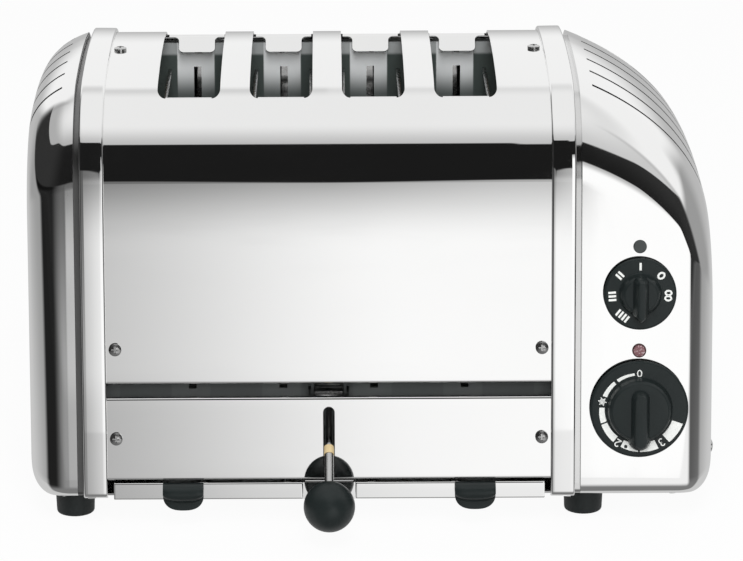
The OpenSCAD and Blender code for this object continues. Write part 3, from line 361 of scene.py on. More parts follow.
face_s = np.append(RIM_LOW + RIM_END * (1 - np.cos(quarter)), [40, 80, 120, FACE - 0.5])
bend_s, crown_s = np.linspace(FACE, FACE + BEND, 52), np.linspace(FACE + BEND, LENGTH / 2, 10)
smooth_s = np.concatenate([face_s, bend_s, crown_s[1:]])
smooth_s = np.append(smooth_s, LENGTH - smooth_s[-2::-1])
round_x, round_n = RIM_EDGE * (1 - np.cos(quarter)), RIM_EDGE * (1 - np.sin(quarter))
crown_x = np.linspace(RIM_EDGE - RIM_W / 2, RIM_W / 2 - RIM_EDGE, 9)
crown_n = RIM_PROUD - (crown_x - crown_x[-1])**2 / (2 * RIM_CROWN)
rim_section = np.concatenate([
    np.stack([RIM_X + round_x, crown_n[0] - round_n], 1),
    np.stack([RIM_X + RIM_W / 2 + crown_x, crown_n], 1)[1:-1],
    np.stack([RIM_X + RIM_W - round_x, RIM_PROUD - round_n], 1)[::-1],
    [[RIM_X + RIM_W, RIM_BACK], [RIM_X, RIM_BACK]]])
# The casting bends later and tighter than the sheet, so it stands out at the shoulder. Its tilt against
# the sheet is summed along the bend and brought back to nothing.
run = np.linspace(0, BEND, 400)
tilt = np.interp(run, [0, 6.3, 20, 24, BEND - 6, BEND], [0, 0.131, 0, -0.0336, -0.0336, 0])
stand_out = np.cumsum(tilt) * (run[1] - run[0])
stand_out = stand_out - run / BEND * stand_out[-1]
rim_swell = np.interp(np.minimum(smooth_s, LENGTH - smooth_s) - FACE, run, stand_out)
flange_section = np.array([[WEB_IN - FLANGE_W, -SHEET], [WEB_IN + WEB_T / 2, -SHEET],
                           [WEB_IN + WEB_T / 2, -SHEET - FLANGE_T], [WEB_IN - FLANGE_W, -SHEET - FLANGE_T]])
web_y, web_z = profile(smooth_s, RIM_PROUD / 2)
web_rows = np.linspace(0, 1, 5)[:, None]
web_floor = np.linspace(web_y[0], web_y[-1], len(web_y))
web = np.dstack([np.full((5, len(web_y)), WEB_IN + WEB_T), web_floor + (web_y - web_floor) * web_rows,
                 WEB_LOW + (web_z - WEB_LOW) * web_rows])
past_vent = smooth_s[(smooth_s > VENT_TOP + 5) & (smooth_s < LENGTH - VENT_TOP - 5)]
vent_edge = VENT_TOP + FOLD + PAST_FOLD
above_vent = np.concatenate([[vent_edge], past_vent, [LENGTH - vent_edge]])
below_vent = np.array([FLANGE_LOW, VENT_LOW - FOLD - PAST_FOLD])
flanges = [sweep(flange_section, s) for s in (above_vent, below_vent, LENGTH - below_vent[::-1])]
rim = sweep(rim_section, smooth_s, RIM_END, rim_swell)
end_frame = join(rim, sheet_metal(*grid(web), WEB_T), *flanges)
piece("right_rim", end_frame, polished_aluminium, "frame", ["right_end_frame"])
piece("left_rim", mirrored(end_frame), polished_aluminium, "frame", ["left_end_frame"])

# End covers: pressed and polished domes with six slit vents each. A joggled lip tucks inside
# the rim and leaves a narrow groove round the body.
COVER_X, COVER_T, JOGGLE, LIP_X, HEM, FOOT_TURN, TIP_R = 125.75, 1.2, 3.0, 119.05, 6.5, 12.0, 44.0
SLIT_Y, SLIT_HALF, SLIT_X, SLIT_LOW = 21.5 * (np.arange(6) - 2.5), 1.2, 132.75, 86.0
FOOT_CUT_X, FOOT_CUT, LIP_UP, TOP_HALF, SIDE_SHARE = 139.25, 98.5, 0.4, 60.0, 0.12
beside_slits = [SLIT_Y + step for step in (-SLIT_HALF, SLIT_HALF, -4, 4)]
top_y = np.unique(np.round(np.concatenate([*beside_slits, [0, -TOP_HALF, TOP_HALF]]), 4))[None]


def ring(half, top, r, low, hem):
    """Open loops of (y, z), one row for each value given: hem arc, leaning face, shoulder and crown on one
    side, then the columns at top_y across the top, and the other side mirrored."""
    half, top, r, low, hem = (np.asarray(v, float).reshape(-1, 1) for v in (half, top, r, low, hem))
    y0, z0, crown = arcs(half, top, r)
    past = np.abs(top_y) - crown * np.sin(SLOPE)
    shoulder_z = z0 + np.sqrt(np.maximum(r**2 - (np.abs(top_y) - y0)**2, 0))
    across_z = np.where(past > 0, shoulder_z, top - crown + np.sqrt(crown**2 - top_y**2))
    shoulder_edge = np.pi - np.arccos(np.clip((TOP_HALF - y0) / r, -1, 1))
    edge = np.where(past[:, :1] > 0, shoulder_edge, np.pi / 2 + np.arcsin(TOP_HALF / crown))
    crest = np.maximum(edge, np.pi / 2 + SLOPE)
    bend = r * (np.pi - LEAN - crest)
    run = (bend + crown * (crest - edge)) * np.linspace(0, 1, 41)[None, :-1]
    turn = np.where(run < bend, np.pi - LEAN - run / r, crest - (run - bend) / crown)
    bend_y = np.where(run < bend, -y0 + r * np.cos(turn), crown * np.cos(turn))
    bend_z = np.where(run < bend, z0 + r * np.sin(turn), top - crown + crown * np.sin(turn))
    hem_y = half - (low + hem - BASE) * np.tan(LEAN) - hem / np.cos(LEAN)
    hem_turn = np.linspace(1.5 * np.pi, np.pi - LEAN, 13)[None]
    hem_y, hem_z = -hem_y + hem * np.cos(hem_turn), low + hem + hem * np.sin(hem_turn)
    up = np.array([0.02, 0.3, 0.6, 0.98])[None]
    face_y = hem_y[:, -1:] + (bend_y[:, :1] - hem_y[:, -1:]) * up
    face_z = hem_z[:, -1:] + (bend_z[:, :1] - hem_z[:, -1:]) * up
    left_y, left_z = np.hstack([hem_y, face_y, bend_y]), np.hstack([hem_z, face_z, bend_z])
    across_y = np.broadcast_to(top_y, across_z.shape)
    return np.hstack([left_y, across_y, -left_y[:, ::-1]]), np.hstack([left_z, across_z, left_z[:, ::-1]])


def end_cover(depth, arch_x, arch_z, edge_r):
    """Rings carried along X: the crest follows an elliptic arch, while the faces and the floor turn in by
    quarter rounds towards the flat end, which is ruled from its outline down to its lower edge."""
    end = COVER_X + depth
    start = np.arcsin(1 - depth / arch_x)
    cuts = np.arcsin(1 - (end - np.array([SLIT_X, FOOT_CUT_X])) / arch_x)
    turn = np.concatenate([np.linspace(start, np.pi / 2, 72), [start + 0.004], cuts])
    turn = np.unique(np.round(turn, 7))
    x = end - arch_x * (1 - np.sin(turn))
    top = TOP - arch_z * np.cos(start) + arch_z * np.cos(turn)
    half = HALF - turn_in(x - end + edge_r, edge_r) / np.cos(LEAN)
    low = BASE + turn_in(x - end + FOOT_TURN, FOOT_TURN)
    r = SHOULDER + (TIP_R - SHOULDER) * (x - COVER_X) / depth
    y, z = ring(half, top, r, low, HEM + 0 * x)
    lip = HALF - JOGGLE / np.cos(LEAN), TOP - JOGGLE, SHOULDER - JOGGLE, BASE + LIP_UP, JOGGLE
    lip_y, lip_z = ring(*([value] * 2 for value in lip))
    x = np.append([LIP_X, COVER_X], x)
    y, z = np.vstack([lip_y, y]), np.vstack([lip_z, z])
    over = np.abs(y[-1]) < TOP_HALF + 0.001
    across = np.where(over, y[-1], 0)
    first, last = np.flatnonzero(over)[[0, -1]]
    reach = -y[-1, 0]
    across[:first] = np.linspace(-reach, -TOP_HALF, first + 1)[:-1]
    across[last + 1:] = np.linspace(TOP_HALF, reach, y.shape[1] - last)[1:]
    fall = np.where(over, z[-1] - z[-1, 0], 1)
    share = np.where(over, (z[-1] - SLIT_LOW) / fall, SIDE_SHARE)
    share = np.concatenate([share[None], share + (1 - share) * np.linspace(0.2, 1, 6)[:, None]])
    cap_y, cap_z = y[-1] + (across - y[-1]) * share, z[-1] + (z[-1, 0] - z[-1]) * share
    rows_x = np.append(x, np.full(len(share), end))
    rows_y, rows_z = np.vstack([y, cap_y]), np.vstack([z, cap_z])
    outer = np.dstack([rows_x[:, None] + 0 * rows_y, rows_y, rows_z])
    cell_y = (y[-1, 1:] + y[-1, :-1]) / 2
    in_slit = (np.abs(cell_y[:, None] - SLIT_Y).min(1) < SLIT_HALF) & (np.abs(cell_y) < TOP_HALF)
    along = (rows_x[:-1] > SLIT_X - 0.001) & (np.arange(len(rows_x) - 1) < len(x))
    floor_y = (across / reach)[None] * -y[:, :1]
    floor = np.dstack([x[:, None] + 0 * y, floor_y, z[:, :1] + 0 * y])
    cut = (x[:-1, None] < FOOT_CUT_X - 0.001) & (np.abs(floor_y[:-1, 1:] + floor_y[:-1, :-1]) / 2 < FOOT_CUT)
    kept = ~(along[:, None] & in_slit[None])
    skin = join(grid(outer, kept), grid(floor[::-1], ~cut[::-1]))
    return sheet_metal(skin[0], skin[1][:, ::-1], COVER_T)


right_dome = end_cover(depth=66.75, arch_x=150.0, arch_z=92.5, edge_r=18.0)
left_dome = mirrored(end_cover(depth=24.5, arch_x=52.0, arch_z=30.5, edge_r=20.0))
piece("right_dome", right_dome, polished_aluminium, "frame", ["right_end_cover"])
piece("left_dome", left_dome, polished_aluminium, "frame", ["left_end_cover"])


# Screws: plated steel pan heads with a cross recess, driven in from outside. They hold the
# sheets, the end covers, the base plates and the feet.
def clouded(name, size, dark, pale, grain, smooth, rough, **fixed):
    """A finish whose colour drifts from dark to pale, while a finer grain takes it from smooth to rough."""
    material, shader, place = finish(name, **fixed)
    link(shader, Base_Color=place.noise(size).mix(dark, pale),
         Roughness=place.noise(grain).step(0.3, 0.7, smooth, rough))
    return material


def dress(material, *names):
    """Gives CAD nodes whose shape stays a finish of their own."""
    for name in names:
        for slot in nodes[name].material_slots:
            slot.material = material


screw_steel = clouded("screw_steel", 400, grey(0.55), grey(0.7), 900, 0.18, 0.32, Metallic=1.0)
dress(screw_steel, "foot_screws", "shell_screws", "panel_screws", "end_screws", "base_screws")

# Feet: four black rubber bumpers with a rounded lower edge. Each is sunk from below for the head
# of the screw that holds it.
FOOT_X, FOOT_Y, FOOT_R, FOOT_H, FOOT_EDGE = 128.75, 88.0, 10.1, 16.2, 1.5
FOOT_TAPER, FOOT_HOLE, FOOT_SINK = 0.6, 2.1, 5
black_rubber, shader, place = finish("black_rubber")
dust = place.noise(900, detail=4.0)
link(shader, Base_Color=dust.mix((0.009, 0.012, 0.012, 1), (0.022, 0.027, 0.027, 1)),
     Roughness=dust.step(0.3, 0.7, 0.5, 0.65), Normal=dust.bump(0.15, 0.0002))


def eased(outline, reach):
    """A run of points with each inner corner replaced by a parabola that starts and ends reach from it."""
    p = np.asarray(outline, float)
    before, after = p[:-2] - p[1:-1], p[2:] - p[1:-1]
    long_a, long_b = np.linalg.norm(before, axis=1)[:, None], np.linalg.norm(after, axis=1)[:, None]
    first = p[1:-1] + before / long_a * np.minimum(reach, long_a / 2.1)
    last = p[1:-1] + after / long_b * np.minimum(reach, long_b / 2.1)
    t = np.linspace(0, 1, 6)[None, :, None]
    corner = (1 - t)**2 * first[:, None] + 2 * t * (1 - t) * p[1:-1, None] + t**2 * last[:, None]
    return np.vstack([p[:1], corner.reshape(-1, 2), p[-1:]])


def lathe(outline, steps=96):
    """An outline of (radius, height) turned about the upright axis."""
    angle = np.linspace(0, 2 * np.pi, steps + 1)[None]
    r, h = np.asarray(outline, float).T[:, :, None]
    return grid(np.dstack([r * np.cos(angle), r * np.sin(angle), h + 0 * angle]))


foot_outline = eased([[FOOT_HOLE, FOOT_H], [FOOT_HOLE, FOOT_H / 2], [FOOT_SINK, FOOT_H / 2], [FOOT_SINK, 0],
                      [FOOT_R - FOOT_TAPER, 0], [FOOT_R, FOOT_H], [FOOT_HOLE, FOOT_H]], FOOT_EDGE)
foot_places = np.array([[x, y, 0] for x in (-FOOT_X, FOOT_X) for y in (-FOOT_Y, FOOT_Y)])
foot = lathe(foot_outline)
feet = join(*((foot[0] + at, foot[1]) for at in foot_places))
piece("rubber_feet", feet, black_rubber, "frame", ["feet"])

# Crumb trays: two shallow stainless pans with a solid front strip, which slide out below the
# lower panel on ledges. A rail between them carries the middle of the strip.
STRIP_TOP, STRIP_T, STRIP_R, STRIP_IN, STRIP_EDGE = 8.6, 3.5, 0.8, 13.2, 0.3
TRAY_IN, TRAY_OUT, TRAY_FLOOR, TRAY_T, TRAY_TOP, TRAY_BACK = 13.5, 107.75, 16.4, 0.8, 22.54, 100.5
FRONT = HALF - 3.0


def bar(section, x0, x1, edge):
    """A closed section of (s, n) on the front face drawn out along X, its ends eased in by edge. Rows close
    to the ends keep the face between them flat."""
    section = np.vstack([section, section[:1]])
    middle = section[:-1].mean(0)
    near = edge * np.array([0, 0, 0.3, 1, 3])
    x = np.concatenate([x0 + near, x1 - near[::-1]])[:, None]
    inset = np.array([1.0, edge, edge * 0.3, 0, 0, 0, 0, edge * 0.3, edge, 1.0])
    away = section - middle
    length = np.linalg.norm(away, axis=1)[None, :, None]
    shrink = np.maximum(length - inset[:, None, None], 0) / length
    shrink[[0, -1]] = 0
    loop = middle + away * shrink
    y, z = profile(loop[..., 0], loop[..., 1])
    return grid(np.dstack([np.broadcast_to(x, y.shape), y, z])[:, ::-1])


strip_round = STRIP_R * np.stack([1 - np.cos(quarter), np.sin(quarter) - 1], 1)
strip_section = np.concatenate([[[0, -STRIP_T]], strip_round, [[1, 0], [STRIP_TOP - 1, 0]],
                                strip_round[::-1] * [-1, 1] + [STRIP_TOP, 0], [[STRIP_TOP, -STRIP_T]]])
corners = np.array([[TRAY_IN, -FRONT], [TRAY_OUT, -FRONT], [TRAY_OUT, TRAY_BACK], [TRAY_IN, TRAY_BACK],
                    [TRAY_IN, -FRONT]])
heights = np.repeat([[TRAY_FLOOR], [TRAY_TOP]], 5, 1)
tray_walls = np.dstack([corners[:, 0] + 0 * heights, corners[:, 1] + 0 * heights, heights])
tray_floor = np.array([[[TRAY_IN, TRAY_BACK, TRAY_FLOOR], [TRAY_OUT, TRAY_BACK, TRAY_FLOOR]],
                       [[TRAY_IN, -FRONT, TRAY_FLOOR], [TRAY_OUT, -FRONT, TRAY_FLOOR]]])
pan = sheet_metal(*join(grid(tray_walls), grid(tray_floor)), TRAY_T)
right_tray = join(pan, bar(strip_section, STRIP_IN, TRAY_OUT, STRIP_EDGE))
left_tray = mirrored(right_tray)
piece("right_tray_pan", right_tray, polished_steel, "right_tray", ["right_crumb_tray"])
piece("left_tray_pan", left_tray, polished_steel, "left_tray", ["left_crumb_tray"])
# The rail's strip is polished like the trays', and its channel above that is rougher and much darker.
rail_steel, shader, place = finish("rail_steel", Metallic=1.0)
channel = place.axes()[2].step(0.0234, 0.0237)
polish = place.noise(6).mix(grey(0.91), grey(0.94))
link(shader, Base_Color=channel.mix(polish, grey(0.12)), Roughness=channel.step(0, 1, 0.03, 0.5))
dress(rail_steel, "centre_tray_rail")

# Tray pulls: moulded black thumb grips, a hooded lip over a plate with a rounded lower end. One
# is fixed to the front strip of each tray.
PULL_X, PULL_HALF, PULL_LOW, PULL_OUT, PULL_NOSE = 73.0, 10.15, -5.3, 6.5, 4.5
PLATE_OUT, RISE, RISE_TOP = 1.8, 7.5, 4.0
black_plastic, shader, place = finish("black_plastic", Specular_IOR_Level=0.3)
grain = place.noise(1400, detail=2.0)
link(shader, Base_Color=place.noise(60).mix((0.010, 0.014, 0.014, 1), (0.016, 0.021, 0.021, 1)),
     Roughness=grain.step(0.3, 0.7, 0.28, 0.4), Normal=grain.bump(0.06, 0.0002))


def pull():
    """Skin of (along, across): along goes up the thumb plate, out under the hood and over its round nose.
    The lower end rises towards the sides as a superellipse, and a flat back closes it against the strip."""
    across = np.sin(np.linspace(-np.pi / 2, np.pi / 2, 41))[None]
    nose = np.linspace(-1.05, np.pi / 2, 16)
    plate = eased([[PULL_LOW, 0], [PULL_LOW, PLATE_OUT], [-1.0, PLATE_OUT], [0.2, 4.2]], 0.7)[:-1]
    nose_s, nose_n = PULL_NOSE * np.sin(nose), PULL_NOSE * np.cos(nose)
    s = np.concatenate([plate[:, 0], STRIP_TOP - PULL_NOSE + nose_s, [STRIP_TOP]])[:, None]
    n = np.concatenate([plate[:, 1], PULL_OUT - PULL_NOSE + nose_n, [0]])[:, None]
    rise = 1 - (1 - np.abs(across)**2.6)**(1 / 2.2)
    s = s + RISE * rise * np.clip((RISE_TOP - s) / (RISE_TOP - PULL_LOW), 0, 1)
    n = n * np.where(np.abs(across) > 0.9999, 0, 1 - 0.1 * np.abs(across)**6)
    x = np.broadcast_to(PULL_X + PULL_HALF * across, n.shape)
    front_y, front_z = profile(s, n)
    back_y, back_z = profile(s, 0 * n)
    return join(grid(np.dstack([x, front_y, front_z])), grid(np.dstack([x, back_y, back_z])[::-1]))


for name, grip in (("right", pull()), ("left", mirrored(pull()))):
    piece(name + "_grip", grip, black_plastic, name + "_tray", [name + "_tray_pull"],
          crease=50)

# Ejector lever: a plated rod that swings in the panel's slot, with a pale bush where it passes
# the sheet and a moulded ball screwed on its end.
PIVOT_Y, PIVOT_Z, DROP, ROD, ROD_OUT = -80.0, 59.6, np.radians(31.7), 72.64, 37.0
BALL_R, SEAM_OUT, SEAM_W = 12.7, 0.004, 0.012
BUSH_HOLE, BUSH_R, BUSH, BUSH_OUT = 2.31, 2.6, 5.0, 2.0
plated_steel, shader, place = finish("plated_steel", Metallic=1.0)
cloud = place.noise(120, detail=4.0)
link(shader, Base_Color=cloud.mix(grey(0.50), grey(0.66)), Roughness=cloud.step(0.3, 0.7, 0.14, 0.28))
pale_bush = clouded("pale_bush", 500, (0.62, 0.47, 0.24, 1), (0.74, 0.60, 0.36, 1), 900, 0.35, 0.5)
browned_steel = clouded("browned_steel", 150, (0.20, 0.21, 0.21, 1), (0.30, 0.31, 0.31, 1), 400, 0.35, 0.5,
                        Metallic=1.0)
dress(plated_steel, "ejector_lever")
dress(browned_steel, "lever_bracket", "lever_pivot_pin")


def on_rod(part):
    """From the rod's own frame, with height along it from the pivot, to the body's."""
    x, up, out = part[0].T
    y = PIVOT_Y - up * np.sin(DROP) - out * np.cos(DROP)
    z = PIVOT_Z + up * np.cos(DROP) - out * np.sin(DROP)
    return np.stack([x, y, z], 1), part[1]


bush_low = ROD - ROD_OUT + BUSH_OUT - BUSH / 2
bush_top = bush_low + BUSH
bush_outline = eased([[BUSH_HOLE, bush_low], [BUSH_R, bush_low], [BUSH_R, bush_top], [BUSH_HOLE, bush_top],
                      [BUSH_HOLE, bush_low]], 0.25)
piece("rod_bush", on_rod(lathe(bush_outline, 48)), pale_bush, "lever", ["lever_collar"])
ball_turn = np.linspace(-np.pi / 2 + 0.26, np.pi / 2, 64)
seam = 1 + SEAM_OUT * np.exp(-(ball_turn / SEAM_W)**2)
ball_outline = np.vstack([[[0, ROD - BALL_R + 0.5], [2.6, ROD - BALL_R + 0.45]],
                          np.stack([BALL_R * np.cos(ball_turn) * seam, ROD + BALL_R * np.sin(ball_turn)], 1)])
piece("moulded_ball", on_rod(lathe(ball_outline)), black_plastic, "lever", ["lever_ball"])

# Selector: a moulded dial with a boss and a pointed finger ridge, pressed on the switch's shaft.
# Bars and rings for the number of slots are hot-stamped on its rim in white.
CONTROL_X, SELECTOR_UP, SELECTOR_R, SELECTOR_HUB, SELECTOR_HUB_TOP = 154.5, 104.0, 18.1, 10.25, 8.8
DIAL_LOW, DIAL_TOP, RIDGE_TOP = 1.6, 4.0, 16.0
MARK_R, COUNT_TURN, BAR_PITCH, BAR_W = 13.9, 47, 1.85, 1.1
white_print = clouded("white_print", 700, (0.70, 0.72, 0.70, 1), (0.84, 0.85, 0.83, 1), 900, 0.4, 0.55)


def on_face(part, x, s, back=1):
    """From a frame on the front face (or the back) at x and s, with height outwards, to the body's."""
    a, b, out = part[0].T
    y, z = profile(s + b, out)
    return np.stack([x + a, back * y, z], 1), part[1][:, ::back]


def dial(r, hub, hub_top):
    """A turned knob: flat dial with a soft edge, then a boss that tapers a little to a soft top."""
    outline = eased([[0, DIAL_LOW], [r - 0.2, DIAL_LOW], [r, DIAL_TOP - 0.8], [r - 0.9, DIAL_TOP],
                     [hub + 0.4, DIAL_TOP], [hub, DIAL_TOP + 0.5], [hub - 0.9, hub_top - 1.4],
                     [hub - 2.2, hub_top], [0, hub_top]], 0.45)
    return lathe(outline, 128)


def ridge(outline, spine, shape):
    """A closed outline of (a, b) drawn in to its spine as it rises, by rows of (share of width, height)."""
    share, height = np.asarray(shape, float).T[:, :, None]
    flat = spine[None] + (outline - spine)[None] * share[..., None]
    return grid(np.dstack([flat, height + 0 * flat[..., 0]]))


def stroke(path, width):
    """Flat ribbon about a path of (a, b): its points moved sideways by half the width both ways."""
    path = np.asarray(path, float)
    ahead = np.gradient(path, axis=0)
    aside = np.stack([-ahead[:, 1], ahead[:, 0]], 1) / np.linalg.norm(ahead, axis=1)[:, None] * width / 2
    edges = np.stack([path + aside, path - aside], 1)
    return grid(np.dstack([edges, 0 * edges[..., :1]]))


def clock(part, angle, r):
    """A flat mark turned to an angle, anticlockwise from the top, with its head outwards at radius r."""
    a, b = part[0][:, 0], part[0][:, 1] + r
    c, s = np.cos(np.radians(angle)), np.sin(np.radians(angle))
    return np.stack([c * a - s * b, s * a + c * b, part[0][:, 2]], 1), part[1]


def stamped(*marks):
    """Marks as a thin raised film on a dial."""
    flat = join(*marks)
    return sheet_metal(flat[0] + [0, 0, DIAL_TOP + 0.1], flat[1], 0.3)


def oval(a, b, width, at=(0, 0)):
    """Flat ring between the ellipse of half axes a and b about a point and the one smaller by width."""
    turn, inset = np.linspace(0, 2 * np.pi, 49)[:, None], np.array([width, 0])
    x, y = at[0] + (a - inset) * np.cos(turn), at[1] + (b - inset) * np.sin(turn)
    return grid(np.dstack([x, y, 0 * x]))


finger = np.array([[4.1, 5.0], [3.9, 7.6], [2.6, 9.2], [0, 9.5], [-2.6, 9.2], [-3.9, 7.6], [-4.1, 5.0],
                   [-4.1, 0], [-4.1, -5], [-4.0, -9.4], [-3.2, -10.9], [-0.7, -13.4], [0, -13.6],
                   [0.7, -13.4], [3.2, -10.9], [4.0, -9.4], [4.1, -5], [4.1, 0], [4.1, 5.0]])
finger_spine = np.stack([0 * finger[:, 0], np.clip(finger[:, 1], -10.2, 6.4)], 1)
finger_shape = [[1, 3.5], [1, 6], [0.93, 9.5], [0.62, 13.5], [0.42, 15.5], [0.34, 15.95],
                [0.2, RIDGE_TOP], [0, RIDGE_TOP]]
knob = join(dial(SELECTOR_R, SELECTOR_HUB, SELECTOR_HUB_TOP), ridge(finger, finger_spine, finger_shape))
selector = on_face(knob, CONTROL_X, SELECTOR_UP)
piece("selector_dial", selector, black_plastic, "selector", ["selector_knob"])
bar_y = np.linspace(-1.9, 1.9, 3)
counts = [clock(stroke(np.stack([0 * bar_y + BAR_PITCH * (k - (n - 1) / 2), bar_y], 1), BAR_W),
                COUNT_TURN * (n - 1), MARK_R) for n in (1, 2, 3, 4) for k in range(n)]
single = clock(oval(1.8, 2.15, 0.95), -48, MARK_R)
double = [clock(oval(1.55, 1.95, 0.9, (aside, 0)), -93, MARK_R) for aside in (1.35, -1.35)]
selector_print = on_face(stamped(*counts, single, *double), CONTROL_X, SELECTOR_UP)
piece("selector_marks", selector_print, white_print, "selector")

# Timer: a larger dial on the clockwork's shaft, with a round-ended finger ridge that reaches
# past its boss. A white band that widens with the time runs round it, with numbers.
TIMER_UP, TIMER_R, TIMER_HUB, TIMER_HUB_TOP = 45.8, 24.55, 16.2, 10.6
BAND_IN, BAND_START, BAND_END, BAND_TURN, FIGURE_W = 17.3, 18.3, 22.9, 250, 0.55
RIDGE_HEAD, RIDGE_TAIL, RIDGE_HALF, DOT_R = 6.5, -14.75, 5.75, 0.85
turn = np.linspace(0, 2 * np.pi, 65)
bar_spine = np.stack([0 * turn, np.where(np.sin(turn) > 0, RIDGE_HEAD, RIDGE_TAIL)], 1)
bar_outline = bar_spine + RIDGE_HALF * np.stack([np.cos(turn), np.sin(turn)], 1)
bar_shape = [[1, 3.5], [0.97, 7], [0.8, 10.5], [0.6, 14], [0.5, 15.5], [0.43, 15.95],
             [0.3, RIDGE_TOP], [0, RIDGE_TOP]]
dot_outline = [[0, DIAL_TOP - 0.5], [DOT_R, DIAL_TOP - 0.5], [DOT_R, DIAL_TOP + 0.2], [0, DIAL_TOP + 0.2]]
dot = clock(lathe(dot_outline, 24), 160.5, 20.0)
knob = join(dial(TIMER_R, TIMER_HUB, TIMER_HUB_TOP), ridge(bar_outline, bar_spine, bar_shape), dot)
timer = on_face(knob, CONTROL_X, TIMER_UP)
piece("timer_dial", timer, black_plastic, "timer", ["timer_knob"])


def band(start, end):
    """A piece of the band between two angles: its inner edge is round, and its width grows with the angle."""
    angle = np.linspace(start, end, 24)
    r = np.stack([np.full(24, BAND_IN), BAND_START + (BAND_END - BAND_START) * angle / BAND_TURN], 1)
    turn = np.radians(angle)[:, None]
    return grid(np.dstack([-r * np.sin(turn), r * np.cos(turn), 0 * r]))


def arc(x, y, r, start, end):
    """Points of a circle about (x, y) between two angles in degrees."""
    turn = np.radians(np.linspace(start, end, 24))
    return np.stack([x + r * np.cos(turn), y + r * np.sin(turn)], 1)


hook = np.vstack([arc(0, 0.85, 1.0, 165, -35), np.linspace([0.6, 0.0], [-1.15, -1.6], 8)])
two = join(stroke(hook, FIGURE_W), stroke(np.linspace([-1.35, -1.65], [1.3, -1.65], 4), FIGURE_W))
bowls = arc(-0.05, 0.9, 0.92, 150, -90), arc(-0.05, -0.85, 1.0, 90, -150)
three = join(*(stroke(bowl, FIGURE_W) for bowl in bowls))
arm = np.linspace(-2.1, 2.1, 3)[:, None]
arms = [stroke(arm * [np.cos(t), np.sin(t)], 0.5) for t in np.radians([30, 90, 150])]
star = join(*arms, oval(1.4, 1.4, 0.4))
zero = oval(1.3, 1.85, FIGURE_W)
ends = (8, 37), (42, 69), (87, 110), (112.5, 142), (154, 178.7), (181.3, 206), (222, 251)
segments = [band(start, end) for start, end in ends]
figures = [clock(zero, 0, 18.2), clock(star, 77.5, 18.9), clock(two, 148, 20.0), clock(three, 214, 20.2)]
timer_print = on_face(stamped(*segments, *figures), CONTROL_X, TIMER_UP)
piece("timer_marks", timer_print, white_print, "timer")

# Pilot lamp: a red moulded lens with small prisms, snapped through the cover, and above it a
# plain grey plug that the selector's marks turn past.
LAMP_UP, LAMP_R, INDEX_UP, INDEX_R = 74.9, 3.5, 127.3, 3.35
red_lens, shader, place = finish("red_lens", Coat_Weight=0.4, Coat_Roughness=0.1)
lens_at = CENTRE + np.append(CONTROL_X, profile(np.array(LAMP_UP), 0.6)) / 1000
offset = place.make("ShaderNodeVectorMath", {"operation": "SUBTRACT"}, {0: place, 1: tuple(lens_at)})
from_axis = offset.make("ShaderNodeVectorMath", {"operation": "LENGTH"}, {0: offset}, out=1)
prism = place.make("ShaderNodeTexVoronoi", {}, {"Vector": place, "Scale": 1300.0})
glow = prism.step(0.1, 0.5).mix((0.55, 0.44, 0.46, 1), (0.19, 0.085, 0.095, 1))
link(shader, Base_Color=from_axis.step(0.0026, 0.0031).mix(glow, (0.05, 0.02, 0.02, 1)),
     Roughness=prism.step(0.1, 0.6, 0.2, 0.45), Normal=prism.bump(0.6, 0.0003))
lens_turn = np.linspace(0.45, np.pi / 2, 12)
lens_rim = eased([[0, -1.2], [2.8, -1.2], [2.8, 0], [LAMP_R, 0], [LAMP_R, 0.6], [3.0, 0.85]], 0.2)
lens_cap = np.stack([3.1 * np.cos(lens_turn), 0.45 + 0.75 * np.sin(lens_turn)], 1)
lens = on_face(lathe(np.vstack([lens_rim, lens_cap]), 64), CONTROL_X, LAMP_UP)
piece("lamp_jewel", lens, red_lens, "frame", ["lamp_lens"])
grey_plastic = clouded("grey_plastic", 300, (0.038, 0.043, 0.043, 1), (0.054, 0.060, 0.060, 1), 1200,
                       0.35, 0.5)
plug_outline = eased([[0, -2.1], [1.65, -2.1], [1.65, 0], [INDEX_R, 0], [INDEX_R, 0.5],
                      [INDEX_R - 0.5, 0.9], [0, 0.9]], 0.25)
plug = on_face(lathe(plug_outline, 64), CONTROL_X, INDEX_UP)
piece("index_button", plug, grey_plastic, "frame", ["index_plug"])

# Lead bush: a moulded rubber grommet in the back of the control end. Its neck is snapped into a
# hole in the cover.
GLAND_X, GLAND_UP = 162.5, 28.0
gland_outline = eased([[4, -7.2], [6, -7.2], [6, 0], [8.5, 0], [8.5, 1.6], [7.4, 2.5], [4.6, 2.5],
                       [4, 2.0], [4, -7.2]], 0.5)
gland = on_face(lathe(gland_outline, 64), GLAND_X, GLAND_UP, back=-1)
piece("lead_bush", gland, black_rubber, "frame", ["cord_gland"])

# Inner works: plated plates and racks, mica boards wound with flat ribbon, and guard wires that
# keep the bread off them. They stand in slots and holes of the guide plates.
# The plate is painted bright with light behind the middle of each slot, and painted shade darkens it beside
# that and further down.
guide_plate, shader, place = finish("guide_plate")
x, _, z = place.axes()
across = x.math("FRACT", (x - CENTRE[0]) * (1000 / SLOT_PITCH) + 0.02)
beside = across.math("ABSOLUTE", (across - 0.5) * SLOT_PITCH)
# Painted light pool: full across the middle of each slot, partly beside it at the very top, fading out with
# depth.
slot_light = beside.step(10.2, 9.5)
slot_light = (slot_light + (1 - slot_light) * z.step(0.1985, 0.2005) * 0.4) * z.step(0.176, 0.194, 0.06, 1.0)
stain = place.noise(90, (1, 1, 0.3), 4.0)
lit_plate = stain.mix((0.80, 0.83, 0.84, 1), (0.90, 0.92, 0.93, 1))
# The dark colour is painted shade, and the pale one is painted light with a random tone.
link(shader, Base_Color=(slot_light + z.step(0.12, 0.09, 0.0, 0.28)).mix((0.065, 0.080, 0.076, 1), lit_plate),
     Roughness=stain.step(0.3, 0.7, 0.4, 0.55))
dress(guide_plate, "front_guide_plate", "rear_guide_plate")
dress(plated_steel, "left_base_plate", "right_base_plate", "left_tray_runner", "right_tray_runner")
